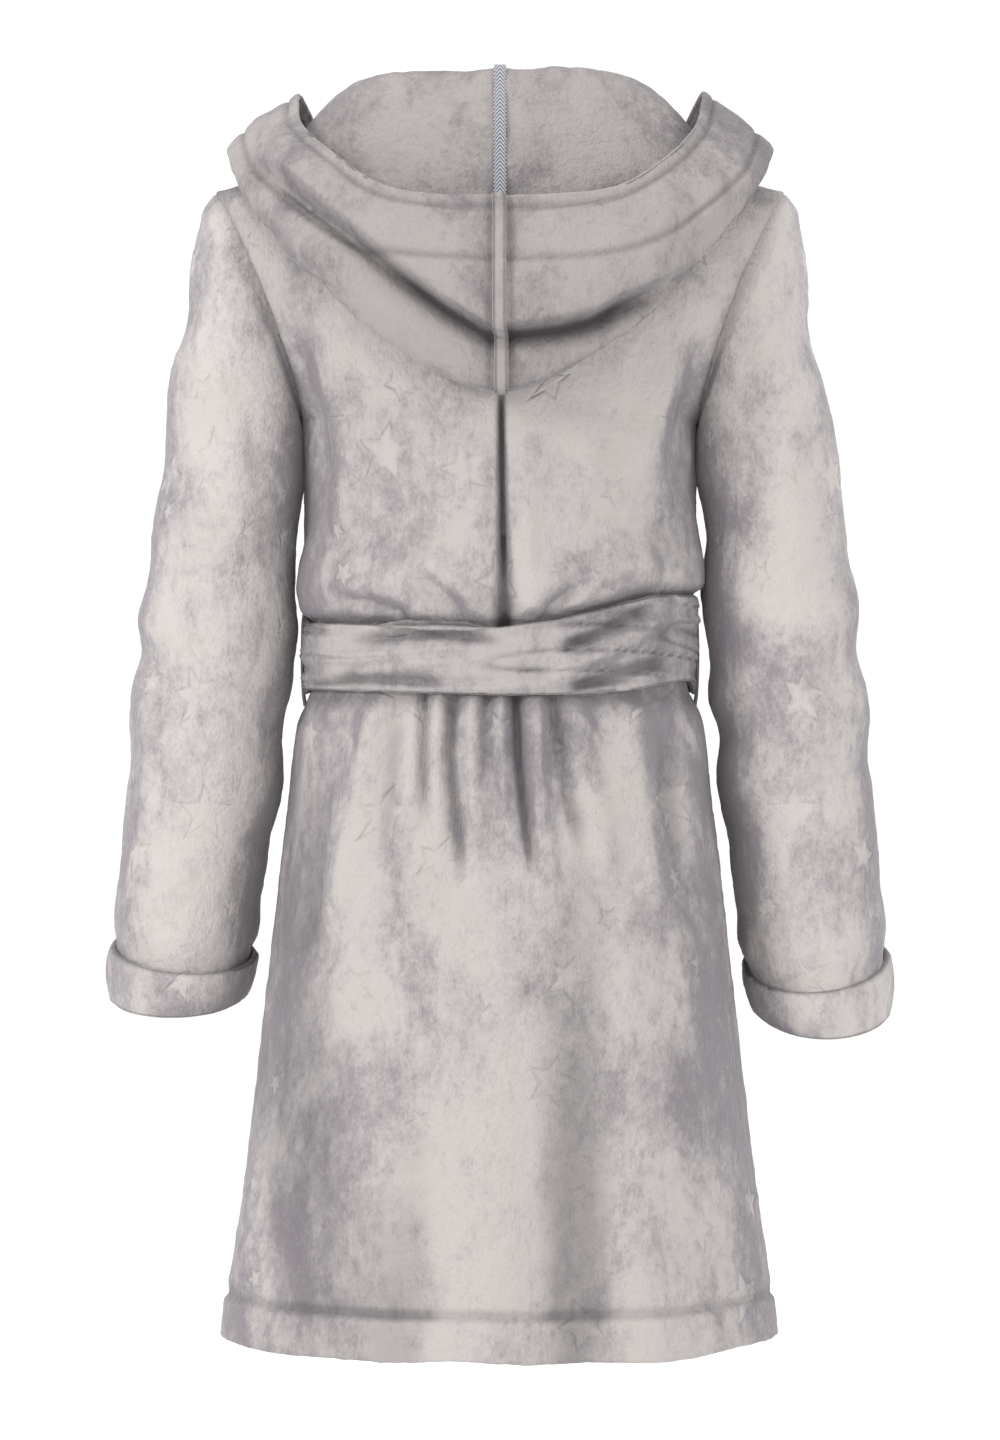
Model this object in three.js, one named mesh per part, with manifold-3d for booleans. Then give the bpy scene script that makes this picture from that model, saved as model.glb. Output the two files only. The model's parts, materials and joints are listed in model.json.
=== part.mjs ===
// A short hooded plush bathrobe in the shape it has when worn: wrapped body panels, set-in
// sleeves with turned-up cuffs, a hood lying on the back, patch pockets and a tied belt.
// Millimetres, +Z up. The wearer faces -Y, and the wearer's left side is +X.
// Every height below is measured from the hem. The whole group is then moved so that its
// origin is at the hanging loop inside the back neck.
import * as THREE from "three";
import { mergeVertices } from "three/addons/utils/BufferGeometryUtils.js";
import Module from "manifold-3d";

// Cloth thicknesses, and the clearance between neighbouring pieces.
const FLEECE = 4;
const FACING = 3;
const TAPE = 1.5;
const LABEL = 0.8;
const GAP = 0.4;
const SEAM = 0.6;

// Body: half widths and depths of its oval rings, and the heights they lie at.
const HEM_HALF = 207;
const HEM_BACK = 165;
const HEM_FRONT = 150;
const WAIST_HALF = 142;
const WAIST_BACK = 110;
const WAIST_FRONT = 104;
const CHEST_HALF = 150;
const CHEST_BACK = 122;
const CHEST_FRONT = 132;
const WAIST_HEIGHT = 515;
const FLARE_DROP = 48;
const BLOUSE_RISE = 52;
const ARMPIT_HEIGHT = 690;
const ARMHOLE_HEIGHT = 176;
const ARMHOLE_HALF_DEPTH = 60;
const SHOULDER_HALF = 216;
const NECK_HALF = 76;
const NECK_BACK_DEPTH = 58;
const NECK_RISE = 26;
const NAPE_DROP = 8;
const WRAP_PAST_CENTRE = 45;
const WRAP_LIFT = 9;
const HEM_TURN_UP = 34;
const BAND_WIDTH = 45;

// Sleeves and cuffs.
const SLEEVE_DROP = 608;
const SLEEVE_SPREAD = 73;
const UNDERARM_SPREAD = 43;
const UNDERARM_EASE = 4;
const SLEEVE_FORWARD = 34;
const SKIRT_AT_CUFF = 177.379;
const SLEEVE_HALF_DEPTH = 66;
const CUFF_TILT = 9;
const CUFF_HEIGHT = 40;
const CUFF_THICKNESS = 5;
const CUFF_OVERHANG = 3;

// Belt, its loops, knot and ends.
const BELT_WIDTH = 60;
const BELT_THICKNESS = 5;
const LOOP_WIDTH = 10;
const LOOP_THICKNESS = 3;
const LOOP_PAST_BELT = 9;
const KNOT_WIDTH = 80;
const KNOT_HEIGHT = 54;
const KNOT_DEPTH = 34;
const BELT_END_LENGTH = 400;
const BELT_END_TOP_WIDTH = 34;
const BELT_END_WIDTH = 54;
const BELT_END_THICKNESS = 9;
const BELT_END_SPACING = 5;

// Pockets.
const POCKET_WIDTH = 130;
const POCKET_HEIGHT = 165;
const POCKET_BELOW_BELT = 62;
const POCKET_FROM_EDGE = 12;
const POCKET_EASE = 15;
const POCKET_HEM = 30;

// Small pieces inside the back neck.
const HANGER_WIDTH = 9;
const HANGER_BOW = 15;
const LABEL_HALF = 24;
const LABEL_HEIGHT = 26;

// Hood: where its fold over the neck can swing, and the widths of its facing and seam tape.
const HOOD_HINGE_Y = 66;
const V_AT_HOOD_END = 29.2327;
const SEAM_TAPE_WIDTH = 9;

const BELT_LOW = WAIST_HEIGHT - BELT_WIDTH / 2;
const BELT_HIGH = WAIST_HEIGHT + BELT_WIDTH / 2;
const SHOULDER_HEIGHT = ARMPIT_HEIGHT + ARMHOLE_HEIGHT;
const NECK_HEIGHT = SHOULDER_HEIGHT + NECK_RISE;
const QUARTER = Math.PI / 2;
const { lerp, smoothstep, clamp, degToRad } = THREE.MathUtils;

const wasm = await Module();
wasm.setup();

// ---------------------------------------------------------------- cloth sheets

// The unit normal of surface(u, v), on the side of cross(d/du, d/dv) times facing.
function normalAt(surface, u, v, facing) {
  const step = 1e-3;
  const du = surface(u + step, v).sub(surface(u - step, v));
  const dv = surface(u, v + step).sub(surface(u, v - step));
  return du.cross(dv).normalize().multiplyScalar(facing);
}

// A number of equal steps as a list of grid lines.
function evenly(steps, from = 0, to = 1) {
  return Array.from({ length: steps + 1 }, (_, k) => lerp(from, to, k / steps));
}

// A sheet of cloth over surface(u, v), with its corners at the grid lines us and vs. Its inner
// face is lifted off the surface by lift (a number or a function of u and v) and its outer
// face is thickness further. A closed sheet joins its last column to its first.
// Layers that share their grid lines stay parallel, so the clearance between them holds.
function clothSheet(surface, options) {
  const { us, vs, thickness, facing = 1, closed = false } = options;
  const lift = options.lift ?? -thickness;
  const liftAt = typeof lift === "function" ? lift : () => lift;
  const columns = us.length - 1;
  const rows = vs.length - 1;
  const across = closed ? columns : columns + 1;
  const points = [];
  for (const extra of [0, thickness]) {
    for (const v of vs) {
      for (const u of us.slice(0, across)) {
        const away = normalAt(surface, u, v, facing);
        const point = surface(u, v).addScaledVector(away, liftAt(u, v) + extra);
        points.push(point.x, point.y, point.z);
      }
    }
  }
  const at = (layer, i, j) => (layer * (rows + 1) + j) * across + (i % across);
  const faces = [];
  const quad = (a, b, c, d) => faces.push(...(facing > 0 ? [a, b, c, a, c, d] : [a, c, b, a, d, c]));
  for (let j = 0; j < rows; j++) {
    for (let i = 0; i < columns; i++) {
      quad(at(1, i, j), at(1, i + 1, j), at(1, i + 1, j + 1), at(1, i, j + 1));
      quad(at(0, i, j), at(0, i, j + 1), at(0, i + 1, j + 1), at(0, i + 1, j));
    }
  }
  for (let i = 0; i < columns; i++) {
    quad(at(0, i, 0), at(0, i + 1, 0), at(1, i + 1, 0), at(1, i, 0));
    quad(at(1, i, rows), at(1, i + 1, rows), at(0, i + 1, rows), at(0, i, rows));
  }
  for (let j = 0; j < rows && !closed; j++) {
    quad(at(1, 0, j), at(1, 0, j + 1), at(0, 0, j + 1), at(0, 0, j));
    quad(at(0, columns, j), at(0, columns, j + 1), at(1, columns, j + 1), at(1, columns, j));
  }
  const geometry = new THREE.BufferGeometry();
  geometry.setAttribute("position", new THREE.Float32BufferAttribute(points, 3));
  geometry.setIndex(faces);
  return geometry;
}

// The flat faces that a sheet on these grid lines has, as a surface for what is sewn inside it.
function faceted(surface, us, vs) {
  const cell = (lines, value) => {
    const k = clamp(lines.findLastIndex((line) => line <= value), 0, lines.length - 2);
    return [k, (value - lines[k]) / (lines[k + 1] - lines[k])];
  };
  return (u, v) => {
    const [i, s] = cell(us, u);
    const [j, t] = cell(vs, v);
    const near = surface(us[i], vs[j]);
    const far = surface(us[i + 1], vs[j + 1]);
    const side = s > t ? surface(us[i + 1], vs[j]) : surface(us[i], vs[j + 1]);
    const onSide = Math.abs(s - t);
    return near.multiplyScalar(1 - Math.max(s, t))
      .addScaledVector(side, onSide)
      .addScaledVector(far, Math.min(s, t));
  };
}

// The same piece for the wearer's other side.
function mirrored(geometry) {
  const other = geometry.clone().scale(-1, 1, 1);
  const index = other.index.array;
  for (let i = 0; i < index.length; i += 3) {
    [index[i + 1], index[i + 2]] = [index[i + 2], index[i + 1]];
  }
  return other;
}

function toManifold(geometry) {
  const bare = new THREE.BufferGeometry();
  bare.setAttribute("position", geometry.getAttribute("position"));
  bare.setIndex(geometry.index);
  const merged = mergeVertices(bare, 1e-4);
  return new wasm.Manifold(
    new wasm.Mesh({
      numProp: 3,
      vertProperties: merged.getAttribute("position").array,
      triVerts: new Uint32Array(merged.index.array),
    }),
  );
}

function toGeometry(solid) {
  const mesh = solid.getMesh();
  const geometry = new THREE.BufferGeometry();
  geometry.setAttribute("position", new THREE.Float32BufferAttribute(mesh.vertProperties, 3));
  geometry.setIndex(Array.from(mesh.triVerts));
  return geometry;
}

// Cuts a piece in two at a plane across Y: [the part in front of it, the part behind it].
function cutAcross(geometry, planeY) {
  const reach = 4 * NECK_HEIGHT;
  const half = (from, to) => {
    const box = new THREE.BoxGeometry(reach, to - from, reach);
    box.deleteAttribute("normal");
    box.deleteAttribute("uv");
    return toManifold(box.translate(0, (from + to) / 2, 0));
  };
  const solid = toManifold(geometry);
  return [
    toGeometry(solid.intersect(half(planeY - reach, planeY - GAP / 2))),
    toGeometry(solid.intersect(half(planeY + GAP / 2, planeY + reach))),
  ];
}

// ---------------------------------------------------------------- the body's surface

// [height, half width, depth behind, depth in front] of the body's rings below the armpit.
const BODY_RINGS = [
  [0, HEM_HALF, HEM_BACK, HEM_FRONT],
  [WAIST_HEIGHT - FLARE_DROP, WAIST_HALF + 12, WAIST_BACK + 8, WAIST_FRONT + 8],
  [BELT_LOW, WAIST_HALF, WAIST_BACK, WAIST_FRONT],
  [BELT_HIGH, WAIST_HALF, WAIST_BACK, WAIST_FRONT],
  [WAIST_HEIGHT + BLOUSE_RISE, CHEST_HALF - 2, WAIST_BACK + 8, WAIST_FRONT + 8],
  [ARMPIT_HEIGHT, CHEST_HALF, CHEST_BACK, CHEST_FRONT],
];

function bodyRing(height) {
  const z = clamp(height, 0, ARMPIT_HEIGHT);
  const above = Math.max(1, BODY_RINGS.findIndex((ring) => ring[0] >= z));
  const [low, high] = [BODY_RINGS[above - 1], BODY_RINGS[above]];
  const share = (z - low[0]) / (high[0] - low[0]);
  const [, half, back, front] = low.map((value, k) => lerp(value, high[k], share));
  return { half, back, front };
}

// The top edge over x: the shoulder's slope, then the neckline.
function topHeight(x) {
  const outwards = (Math.abs(x) - NECK_HALF) / (SHOULDER_HALF - NECK_HALF);
  return NECK_HEIGHT - NECK_RISE * clamp(outwards, 0, 1.05);
}

// How far the shirt-like top half has risen from the armpit (0) to the shoulder (1).
const riseOf = (level) => Math.sin(clamp(level - 1, 0, 1) * QUARTER);

// The angle, from the centre of a face round to its side seam or armhole edge.
function sideAngle(face, level) {
  const rise = riseOf(level);
  const depth = face > 0 ? CHEST_BACK : CHEST_FRONT;
  return Math.acos(((2 * ARMHOLE_HALF_DEPTH) / depth) * Math.sqrt(rise / (1 + rise)));
}

const armholeX = (rise) => CHEST_HALF + (SHOULDER_HALF - CHEST_HALF) * Math.pow(rise, 1.35);

// The half width of the oval that a face is cut from.
function ovalHalf(face, level) {
  if (level <= 1) return bodyRing(level * ARMPIT_HEIGHT).half;
  return armholeX(riseOf(level)) / Math.sin(sideAngle(face, level));
}

// A point of the body: face is 1 behind and -1 in front, angle runs from the centre towards
// +X, level is 0 at the hem, 1 at the armpit and 2 at the shoulder, and lift is outwards.
function bodyPoint(face, angle, level, lift = 0) {
  const ring = bodyRing(level * ARMPIT_HEIGHT);
  const depth = (face > 0 ? ring.back : ring.front) + lift;
  const x = (ovalHalf(face, level) + (level < 1 ? lift : 0)) * Math.sin(angle);
  if (level <= 1) {
    return new THREE.Vector3(x, face * (depth * Math.cos(angle) + SEAM / 2), level * ARMPIT_HEIGHT);
  }
  const rise = riseOf(level);
  const inNeck = clamp(Math.abs(x) / NECK_HALF, 0, 1);
  const neck = face > 0 ? NECK_BACK_DEPTH * Math.cos(inNeck * QUARTER) : 0;
  const nape = face > 0 ? NAPE_DROP * (1 - inNeck * inNeck) : 0;
  const y = neck + (depth * Math.cos(angle) - neck) * Math.sqrt(1 - rise * rise);
  const z = ARMPIT_HEIGHT + (topHeight(x) - nape - ARMPIT_HEIGHT) * rise;
  return new THREE.Vector3(x, face * (y + SEAM / 2), z);
}

// Turns a height into a level: heights below the armpit only.
const levelOf = (height) => height / ARMPIT_HEIGHT;

function angleOf(face, x, level) {
  return Math.asin(clamp(x / ovalHalf(face, level), -1, 1));
}

// Where the front edge of the wearer's left panel runs: past the centre below, and up to the
// neck point along the V.
const V_HEIGHT = WAIST_HEIGHT + BLOUSE_RISE;
function edgeX(level) {
  const height = level < 1 ? level * ARMPIT_HEIGHT : lerp(ARMPIT_HEIGHT, NECK_HEIGHT, riseOf(level));
  const share = clamp((height - V_HEIGHT) / (NECK_HEIGHT - V_HEIGHT), 0, 1);
  const curved = (share + Math.pow(Math.sin(share * QUARTER), 2)) / 2;
  return lerp(-WRAP_PAST_CENTRE, NECK_HALF, curved);
}

// The over panel is lifted clear of the under panel, from nothing at its side seam and at its
// armhole, and from nothing above the V.
function wrapLift(angle, level) {
  const inwards = smoothstep(sideAngle(-1, level) - angle, 0, degToRad(45));
  return WRAP_LIFT * inwards * (1 - smoothstep(level, 1.1, 1.6));
}

// A share of the way across a face, where the first lines up to inner are evenly spread
// between two angles, and the others between the second angle and the side.
function acrossFace(u, inner, edge, middle, side) {
  return u < inner ? lerp(edge, middle, u / inner) : lerp(middle, side, (u - inner) / (1 - inner));
}

// A front panel's surface, drawn for the wearer's left side: u from front edge to side, with
// the front band up to BAND_SHARE.
const BAND_COLUMNS = 3;
const FRONT_COLUMNS = 13;
const BAND_SHARE = BAND_COLUMNS / FRONT_COLUMNS;
function frontSurface(over) {
  return (u, level) => {
    const edge = angleOf(-1, edgeX(level), level);
    const inner = angleOf(-1, edgeX(level) + BAND_WIDTH, level);
    const angle = acrossFace(u, BAND_SHARE, edge, inner, sideAngle(-1, level));
    return bodyPoint(-1, angle, level, over ? wrapLift(angle, level) : 0);
  };
}

// The back panel's surface: u from the wearer's right side to the left, with as many columns
// below the neckline as across it, and the others below the shoulders.
const NECK_COLUMNS = 5;
const SHOULDER_COLUMNS = 6;
const NECK_SHARE = NECK_COLUMNS / (NECK_COLUMNS + SHOULDER_COLUMNS);
function backSurface(u, level) {
  const out = Math.abs(2 * u - 1);
  const underNeck = angleOf(1, NECK_HALF, level);
  const angle = acrossFace(out, NECK_SHARE, 0, underNeck, sideAngle(1, level));
  return bodyPoint(1, Math.sign(2 * u - 1) * angle, level);
}

// ---------------------------------------------------------------- panels, hems, bands

// The body's rows: at each bend below the armpit, and above it at the sleeve's columns, so
// that the armhole's corners and the sleeve's meet.
const SLEEVE_COLUMNS = 20;
const ARMHOLE_LEVELS = evenly(SLEEVE_COLUMNS / 2, Math.PI, 0).map(
  (turn) => 1 + Math.asin((1 + Math.cos(turn)) / 2) / QUARTER,
);
const SKIRT_LEVELS = evenly(3, HEM_TURN_UP, WAIST_HEIGHT - FLARE_DROP).map(levelOf);
const WAIST_LEVELS = [BELT_LOW, BELT_HIGH, V_HEIGHT].map(levelOf);
const CHEST_LEVELS = evenly(3, V_HEIGHT, ARMPIT_HEIGHT).map(levelOf).slice(1, -1);
const BODY_LEVELS = [0, ...SKIRT_LEVELS, ...WAIST_LEVELS, ...CHEST_LEVELS, ...ARMHOLE_LEVELS];
const FRONT_LINES = evenly(FRONT_COLUMNS);
const BACK_LINES = evenly(2 * (NECK_COLUMNS + SHOULDER_COLUMNS));
const INSIDE = -FLEECE - GAP;

function backPanel() {
  const grid = { us: BACK_LINES, vs: BODY_LEVELS, facing: -1 };
  return clothSheet(backSurface, { ...grid, thickness: FLEECE });
}

function frontPanel(over) {
  const grid = { us: FRONT_LINES, vs: BODY_LEVELS };
  return clothSheet(frontSurface(over), { ...grid, thickness: FLEECE });
}

// The band turned in along a front edge, from the hem up the V.
function frontBand(over) {
  const grid = { us: FRONT_LINES.slice(0, BAND_COLUMNS + 1), vs: BODY_LEVELS.slice(0, -2) };
  return clothSheet(frontSurface(over), { ...grid, thickness: FACING, lift: INSIDE - FACING });
}

const HEM_LEVELS = BODY_LEVELS.slice(0, 2);

function hemBack() {
  const grid = { us: BACK_LINES, vs: HEM_LEVELS, facing: -1 };
  return clothSheet(backSurface, { ...grid, thickness: FACING, lift: INSIDE - FACING });
}

function hemFront(over) {
  const clearOfBand = BAND_SHARE + 0.006;
  const grid = { us: [clearOfBand, ...FRONT_LINES.slice(BAND_COLUMNS + 1)], vs: HEM_LEVELS };
  return clothSheet(frontSurface(over), { ...grid, thickness: FACING, lift: INSIDE - FACING });
}

// ---------------------------------------------------------------- sleeves and cuffs

// Rows crowd towards the armhole, where the sleeve takes its shape.
const SLEEVE_ROWS = [0, 0.02, 0.05, 0.09, 0.14, 0.2, 0.3, 0.42, 0.54, 0.66, 0.78, 0.9, 1];
const SLEEVE_LINES = evenly(SLEEVE_COLUMNS);
const CUFF_SHARE = CUFF_HEIGHT / SLEEVE_DROP;

// A point of the armhole's edge. turn is 0 at the shoulder and half a turn at the armpit.
function armholePoint(turn) {
  const rise = (1 + Math.cos(turn)) / 2;
  const x = armholeX(rise);
  const z = ARMPIT_HEIGHT + (topHeight(x) - ARMPIT_HEIGHT) * rise;
  return new THREE.Vector3(x, ARMHOLE_HALF_DEPTH * Math.sin(turn), z);
}

// The sleeve's tube without the shape of its armhole: each ring lies between a point on the
// outer line, below the shoulder, and one on the underarm line.
const UNDERARM_DROP = SLEEVE_DROP - ARMHOLE_HEIGHT - CUFF_OVERHANG;
const SLEEVE_SWING = bodyRing(ARMPIT_HEIGHT - UNDERARM_DROP).half - SKIRT_AT_CUFF;
function sleeveTube(turn, along) {
  const outSpread = SLEEVE_SPREAD + SLEEVE_SWING;
  const underSpread = UNDERARM_SPREAD + SLEEVE_SWING;
  const outer = new THREE.Vector3(
    SHOULDER_HALF + outSpread * (1 - Math.pow(Math.max(0, 1 - along), 1.6)),
    0,
    SHOULDER_HEIGHT - SLEEVE_DROP * along,
  );
  const under = new THREE.Vector3(
    CHEST_HALF + UNDERARM_EASE * (1 - Math.pow(Math.max(0, 1 - along), 6))
      + underSpread * Math.pow(Math.max(0, along), 2.4),
    0,
    ARMPIT_HEIGHT - UNDERARM_DROP * along,
  );
  const centre = outer.clone().add(under).multiplyScalar(0.5);
  const reach = outer.sub(under).multiplyScalar(0.5);
  const fuller = smoothstep(along, 0, 0.3);
  const depth = lerp(ARMHOLE_HALF_DEPTH, SLEEVE_HALF_DEPTH, fuller) - 3 * along;
  const point = centre.addScaledVector(reach, Math.cos(turn));
  point.y += depth * Math.sin(turn) - SLEEVE_FORWARD * Math.pow(Math.max(0, along), 1.5);
  point.z -= CUFF_TILT * along * Math.sin(turn);
  return point;
}

function sleeveSurface(u, v) {
  const turn = u * 2 * Math.PI;
  const settle = Math.pow(clamp(1 - v / 0.16, 0, 1), 2);
  const shape = armholePoint(turn).sub(sleeveTube(turn, 0)).multiplyScalar(settle);
  return sleeveTube(turn, v).add(shape).add(new THREE.Vector3(SEAM, 0, 0));
}

// The cloth lies outside this surface at the shoulder and inside it at the underarm, so that it
// clears both the shoulder seam and the body's side.
const sleeveLift = (u) => (-FLEECE * (1 - Math.cos(u * 2 * Math.PI))) / 2;

function sleeve() {
  const grid = { us: SLEEVE_LINES, vs: SLEEVE_ROWS, facing: -1, closed: true };
  return clothSheet(sleeveSurface, { ...grid, thickness: FLEECE, lift: sleeveLift });
}

function cuff() {
  const past = 1 + CUFF_OVERHANG / SLEEVE_DROP;
  const rows = [past - CUFF_SHARE, past - CUFF_SHARE / 2, past];
  const grid = { us: SLEEVE_LINES, vs: rows, facing: -1, closed: true };
  const lift = (u) => sleeveLift(u) + FLEECE + GAP;
  return clothSheet(sleeveSurface, { ...grid, thickness: CUFF_THICKNESS, lift });
}

// ---------------------------------------------------------------- belt

// A point of the whole body ring: turn is 0 at the wearer's left side seam, growing backwards.
function ringPoint(turn, height, lift) {
  const ring = bodyRing(height);
  const depth = Math.sin(turn) > 0 ? ring.back : ring.front;
  const x = (ring.half + lift) * Math.cos(turn);
  const y = (depth + lift) * Math.sin(turn) + Math.sign(Math.sin(turn)) * (SEAM / 2);
  return new THREE.Vector3(x, y, height);
}

// The belt clears the over panel in front, so it stands off the side seams by nothing and off
// the centre front by the wrap.
function beltLift(turn) {
  return Math.sin(turn) < 0 ? wrapLift(QUARTER - Math.asin(-Math.sin(turn)), 0.8) : 0;
}

function belt() {
  const surface = (u, v) => {
    const turn = (u + 0.5 / BELT_COLUMNS) * 2 * Math.PI;
    return ringPoint(turn, lerp(BELT_LOW, BELT_HIGH, v), beltLift(turn));
  };
  const grid = { us: evenly(BELT_COLUMNS), vs: evenly(2), facing: 1, closed: true };
  return clothSheet(surface, { ...grid, thickness: BELT_THICKNESS, lift: 2 * GAP });
}

function beltLoop() {
  const halfTurn = LOOP_WIDTH / 2 / WAIST_BACK;
  const low = BELT_LOW - LOOP_PAST_BELT;
  const high = BELT_HIGH + LOOP_PAST_BELT;
  const surface = (u, v) => ringPoint(lerp(-halfTurn, halfTurn, u), lerp(low, high, v), 0);
  const overBelt = (u, v) => {
    const inward = Math.min(v, 1 - v) * (high - low);
    return GAP + (BELT_THICKNESS + 2 * GAP) * smoothstep(inward, 1, LOOP_PAST_BELT - 2);
  };
  const ends = [0, 1.5, 3, 4.5, 6, LOOP_PAST_BELT - 1].map((from) => from / (high - low));
  const rows = [...ends, 0.5, ...ends.map((end) => 1 - end).reverse()];
  const grid = { us: evenly(2), vs: rows };
  return clothSheet(surface, { ...grid, thickness: LOOP_THICKNESS, lift: overBelt });
}

const BELT_COLUMNS = 44;
const BELT_FRONT_Y = -(WAIST_FRONT + WRAP_LIFT + SEAM / 2 + 2 * GAP + BELT_THICKNESS);
const KNOT_BOTTOM = WAIST_HEIGHT - KNOT_HEIGHT / 2;

function beltKnot() {
  const corner = 16;
  const bevel = 7;
  const half = KNOT_WIDTH / 2 - bevel;
  const tall = KNOT_HEIGHT / 2 - bevel;
  const outline = new THREE.Shape();
  outline.moveTo(-half + corner, -tall);
  outline.absarc(half - corner, -tall + corner, corner, -QUARTER, 0);
  outline.absarc(half - corner, tall - corner, corner, 0, QUARTER);
  outline.absarc(-half + corner, tall - corner, corner, QUARTER, 2 * QUARTER);
  outline.absarc(-half + corner, -tall + corner, corner, 2 * QUARTER, 3 * QUARTER);
  const knot = new THREE.ExtrudeGeometry(outline, {
    depth: KNOT_DEPTH - 2 * bevel,
    bevelThickness: bevel,
    bevelSize: bevel,
    bevelSegments: 2,
    curveSegments: 3,
  });
  knot.deleteAttribute("normal");
  knot.deleteAttribute("uv");
  knot.rotateX(QUARTER);
  return mergeVertices(knot.translate(0, BELT_FRONT_Y - GAP - bevel, WAIST_HEIGHT), 1e-3);
}

// A belt end hangs from the knot, widens to the belt's own width and lies down the skirt.
const BELT_END_TOP = KNOT_BOTTOM - GAP;
const BELT_END_Y = BELT_FRONT_Y - GAP - KNOT_DEPTH / 2 - BELT_END_THICKNESS / 2;

function beltEnd() {
  const low = BELT_END_TOP - BELT_END_LENGTH;
  const skirt = bodyRing(low);
  const lowY = Math.min(BELT_END_Y - 2, -(skirt.front + WRAP_LIFT + BELT_END_THICKNESS + 8));
  const surface = (u, v) => {
    const down = 1 - v;
    const width = lerp(BELT_END_TOP_WIDTH, BELT_END_WIDTH, smoothstep(down, 0, 0.25));
    const inner = BELT_END_SPACING / 2 + 4 * down;
    return new THREE.Vector3(inner + width * u, lerp(BELT_END_Y, lowY, down), lerp(low, BELT_END_TOP, v));
  };
  return clothSheet(surface, { us: evenly(2), vs: evenly(8), thickness: BELT_END_THICKNESS });
}

// ---------------------------------------------------------------- pockets

const POCKET_TOP = BELT_LOW - POCKET_BELOW_BELT;
const POCKET_LOW = POCKET_TOP - POCKET_HEIGHT;

// The pocket lies on a front panel, starting past the over panel's edge, so that both sides
// match. It stands off the panel most at the middle of its mouth.
function pocketSurface(over, low, high) {
  return (u, v) => {
    const height = lerp(low, high, v);
    const ring = bodyRing(height);
    const from = Math.asin((WRAP_PAST_CENTRE + POCKET_FROM_EDGE) / ring.half);
    const angle = from + (u * POCKET_WIDTH) / ((ring.half + ring.front) / 2);
    const level = levelOf(height);
    return bodyPoint(-1, angle, level, over ? wrapLift(angle, level) : 0);
  };
}

function pocketEase(height, u) {
  const up = clamp((height - POCKET_LOW) / (POCKET_TOP - POCKET_LOW), 0, 1);
  return POCKET_EASE * smoothstep(up, 0, 0.45) * Math.pow(Math.sin(Math.PI * clamp(u, 0, 1)), 0.7);
}

function pocket(over) {
  const lift = (u, v) => GAP + pocketEase(lerp(POCKET_LOW, POCKET_TOP, v), u);
  const grid = { us: evenly(12), vs: [0, 0.15, 0.3, 0.45, 1 - POCKET_HEM / POCKET_HEIGHT, 1] };
  const surface = pocketSurface(over, POCKET_LOW, POCKET_TOP);
  return clothSheet(surface, { ...grid, thickness: FLEECE, lift });
}

// The turned-down mouth of a pocket, sewn on its outer face.
function pocketHem(over) {
  const low = POCKET_TOP - POCKET_HEM;
  const lift = (u, v) => 2 * GAP + FLEECE + pocketEase(lerp(low, POCKET_TOP, v), u);
  const grid = { us: evenly(12), vs: [0, 1] };
  const surface = pocketSurface(over, low, POCKET_TOP);
  return clothSheet(surface, { ...grid, thickness: FACING, lift });
}

// ---------------------------------------------------------------- inside the back neck

// The back panel's own flat faces, as a patch that runs from -half to half across and between
// two heights, both measured at the centre.
const BACK_FACES = faceted(backSurface, BACK_LINES, BODY_LEVELS);
function insideBack(half, low, high) {
  const risen = (height) => (height - ARMPIT_HEIGHT) / (NAPE_HEIGHT - ARMPIT_HEIGHT);
  const level = (height) => 1 + Math.asin(Math.min(1, risen(height))) / QUARTER;
  const share = (NECK_SHARE * half) / NECK_HALF;
  return (u, v) => BACK_FACES(0.5 + (share * lerp(-1, 1, u)) / 2, lerp(level(low), level(high), v));
}

const NAPE_HEIGHT = NECK_HEIGHT - NAPE_DROP;
const TAPE_LOW = NAPE_HEIGHT - 9;
const HANGER_HALF = (NECK_HALF * 2) / NECK_COLUMNS;
const HANGER_HEIGHT = NAPE_HEIGHT - HANGER_WIDTH / 2 - GAP;
const NECK_LABEL_HIGH = NAPE_HEIGHT - 24;

function neckTape() {
  const surface = insideBack((NECK_HALF * 4) / NECK_COLUMNS, TAPE_LOW, NAPE_HEIGHT - 1.5);
  const grid = { us: evenly(8), vs: [0, 1], facing: -1 };
  return clothSheet(surface, { ...grid, thickness: TAPE, lift: INSIDE - GAP - TAPE });
}

// A ribbon whose ends are sewn against the neckline's edge. It bows away from the edge, so that
// a hook can pass between the two.
function hangingLoop() {
  const surface = (u, v) => {
    const x = HANGER_HALF * (2 * u - 1);
    const neckline = bodyPoint(1, angleOf(1, x, 2), 2).y;
    const bow = HANGER_BOW * Math.pow(Math.sin(Math.PI * clamp(u, 0, 1)), 0.8);
    return new THREE.Vector3(x, neckline - GAP - bow, HANGER_HEIGHT + HANGER_WIDTH * (v - 0.5));
  };
  const lines = [0, 0.03, 0.08, 0.16, 0.26, 0.38, 0.5, 0.62, 0.74, 0.84, 0.92, 0.97, 1];
  return clothSheet(surface, { us: lines, vs: [0, 1], thickness: TAPE, lift: 0 });
}

function neckLabel() {
  const surface = insideBack(LABEL_HALF, NECK_LABEL_HIGH - LABEL_HEIGHT, NECK_LABEL_HIGH);
  const grid = { us: evenly(4), vs: evenly(3), facing: -1 };
  return clothSheet(surface, { ...grid, thickness: LABEL, lift: INSIDE - LABEL });
}

// Hangs free inside the wearer's left side seam, folded double.
function careLabel() {
  const low = levelOf(0.62 * BELT_LOW);
  const high = low + levelOf(55);
  const surface = (u, v) => BACK_FACES(lerp(0.93, 0.985, u), lerp(low, high, v));
  const grid = { us: evenly(2), vs: evenly(2), facing: -1 };
  return clothSheet(surface, { ...grid, thickness: LABEL, lift: INSIDE - LABEL });
}

// ---------------------------------------------------------------- hood

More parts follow.
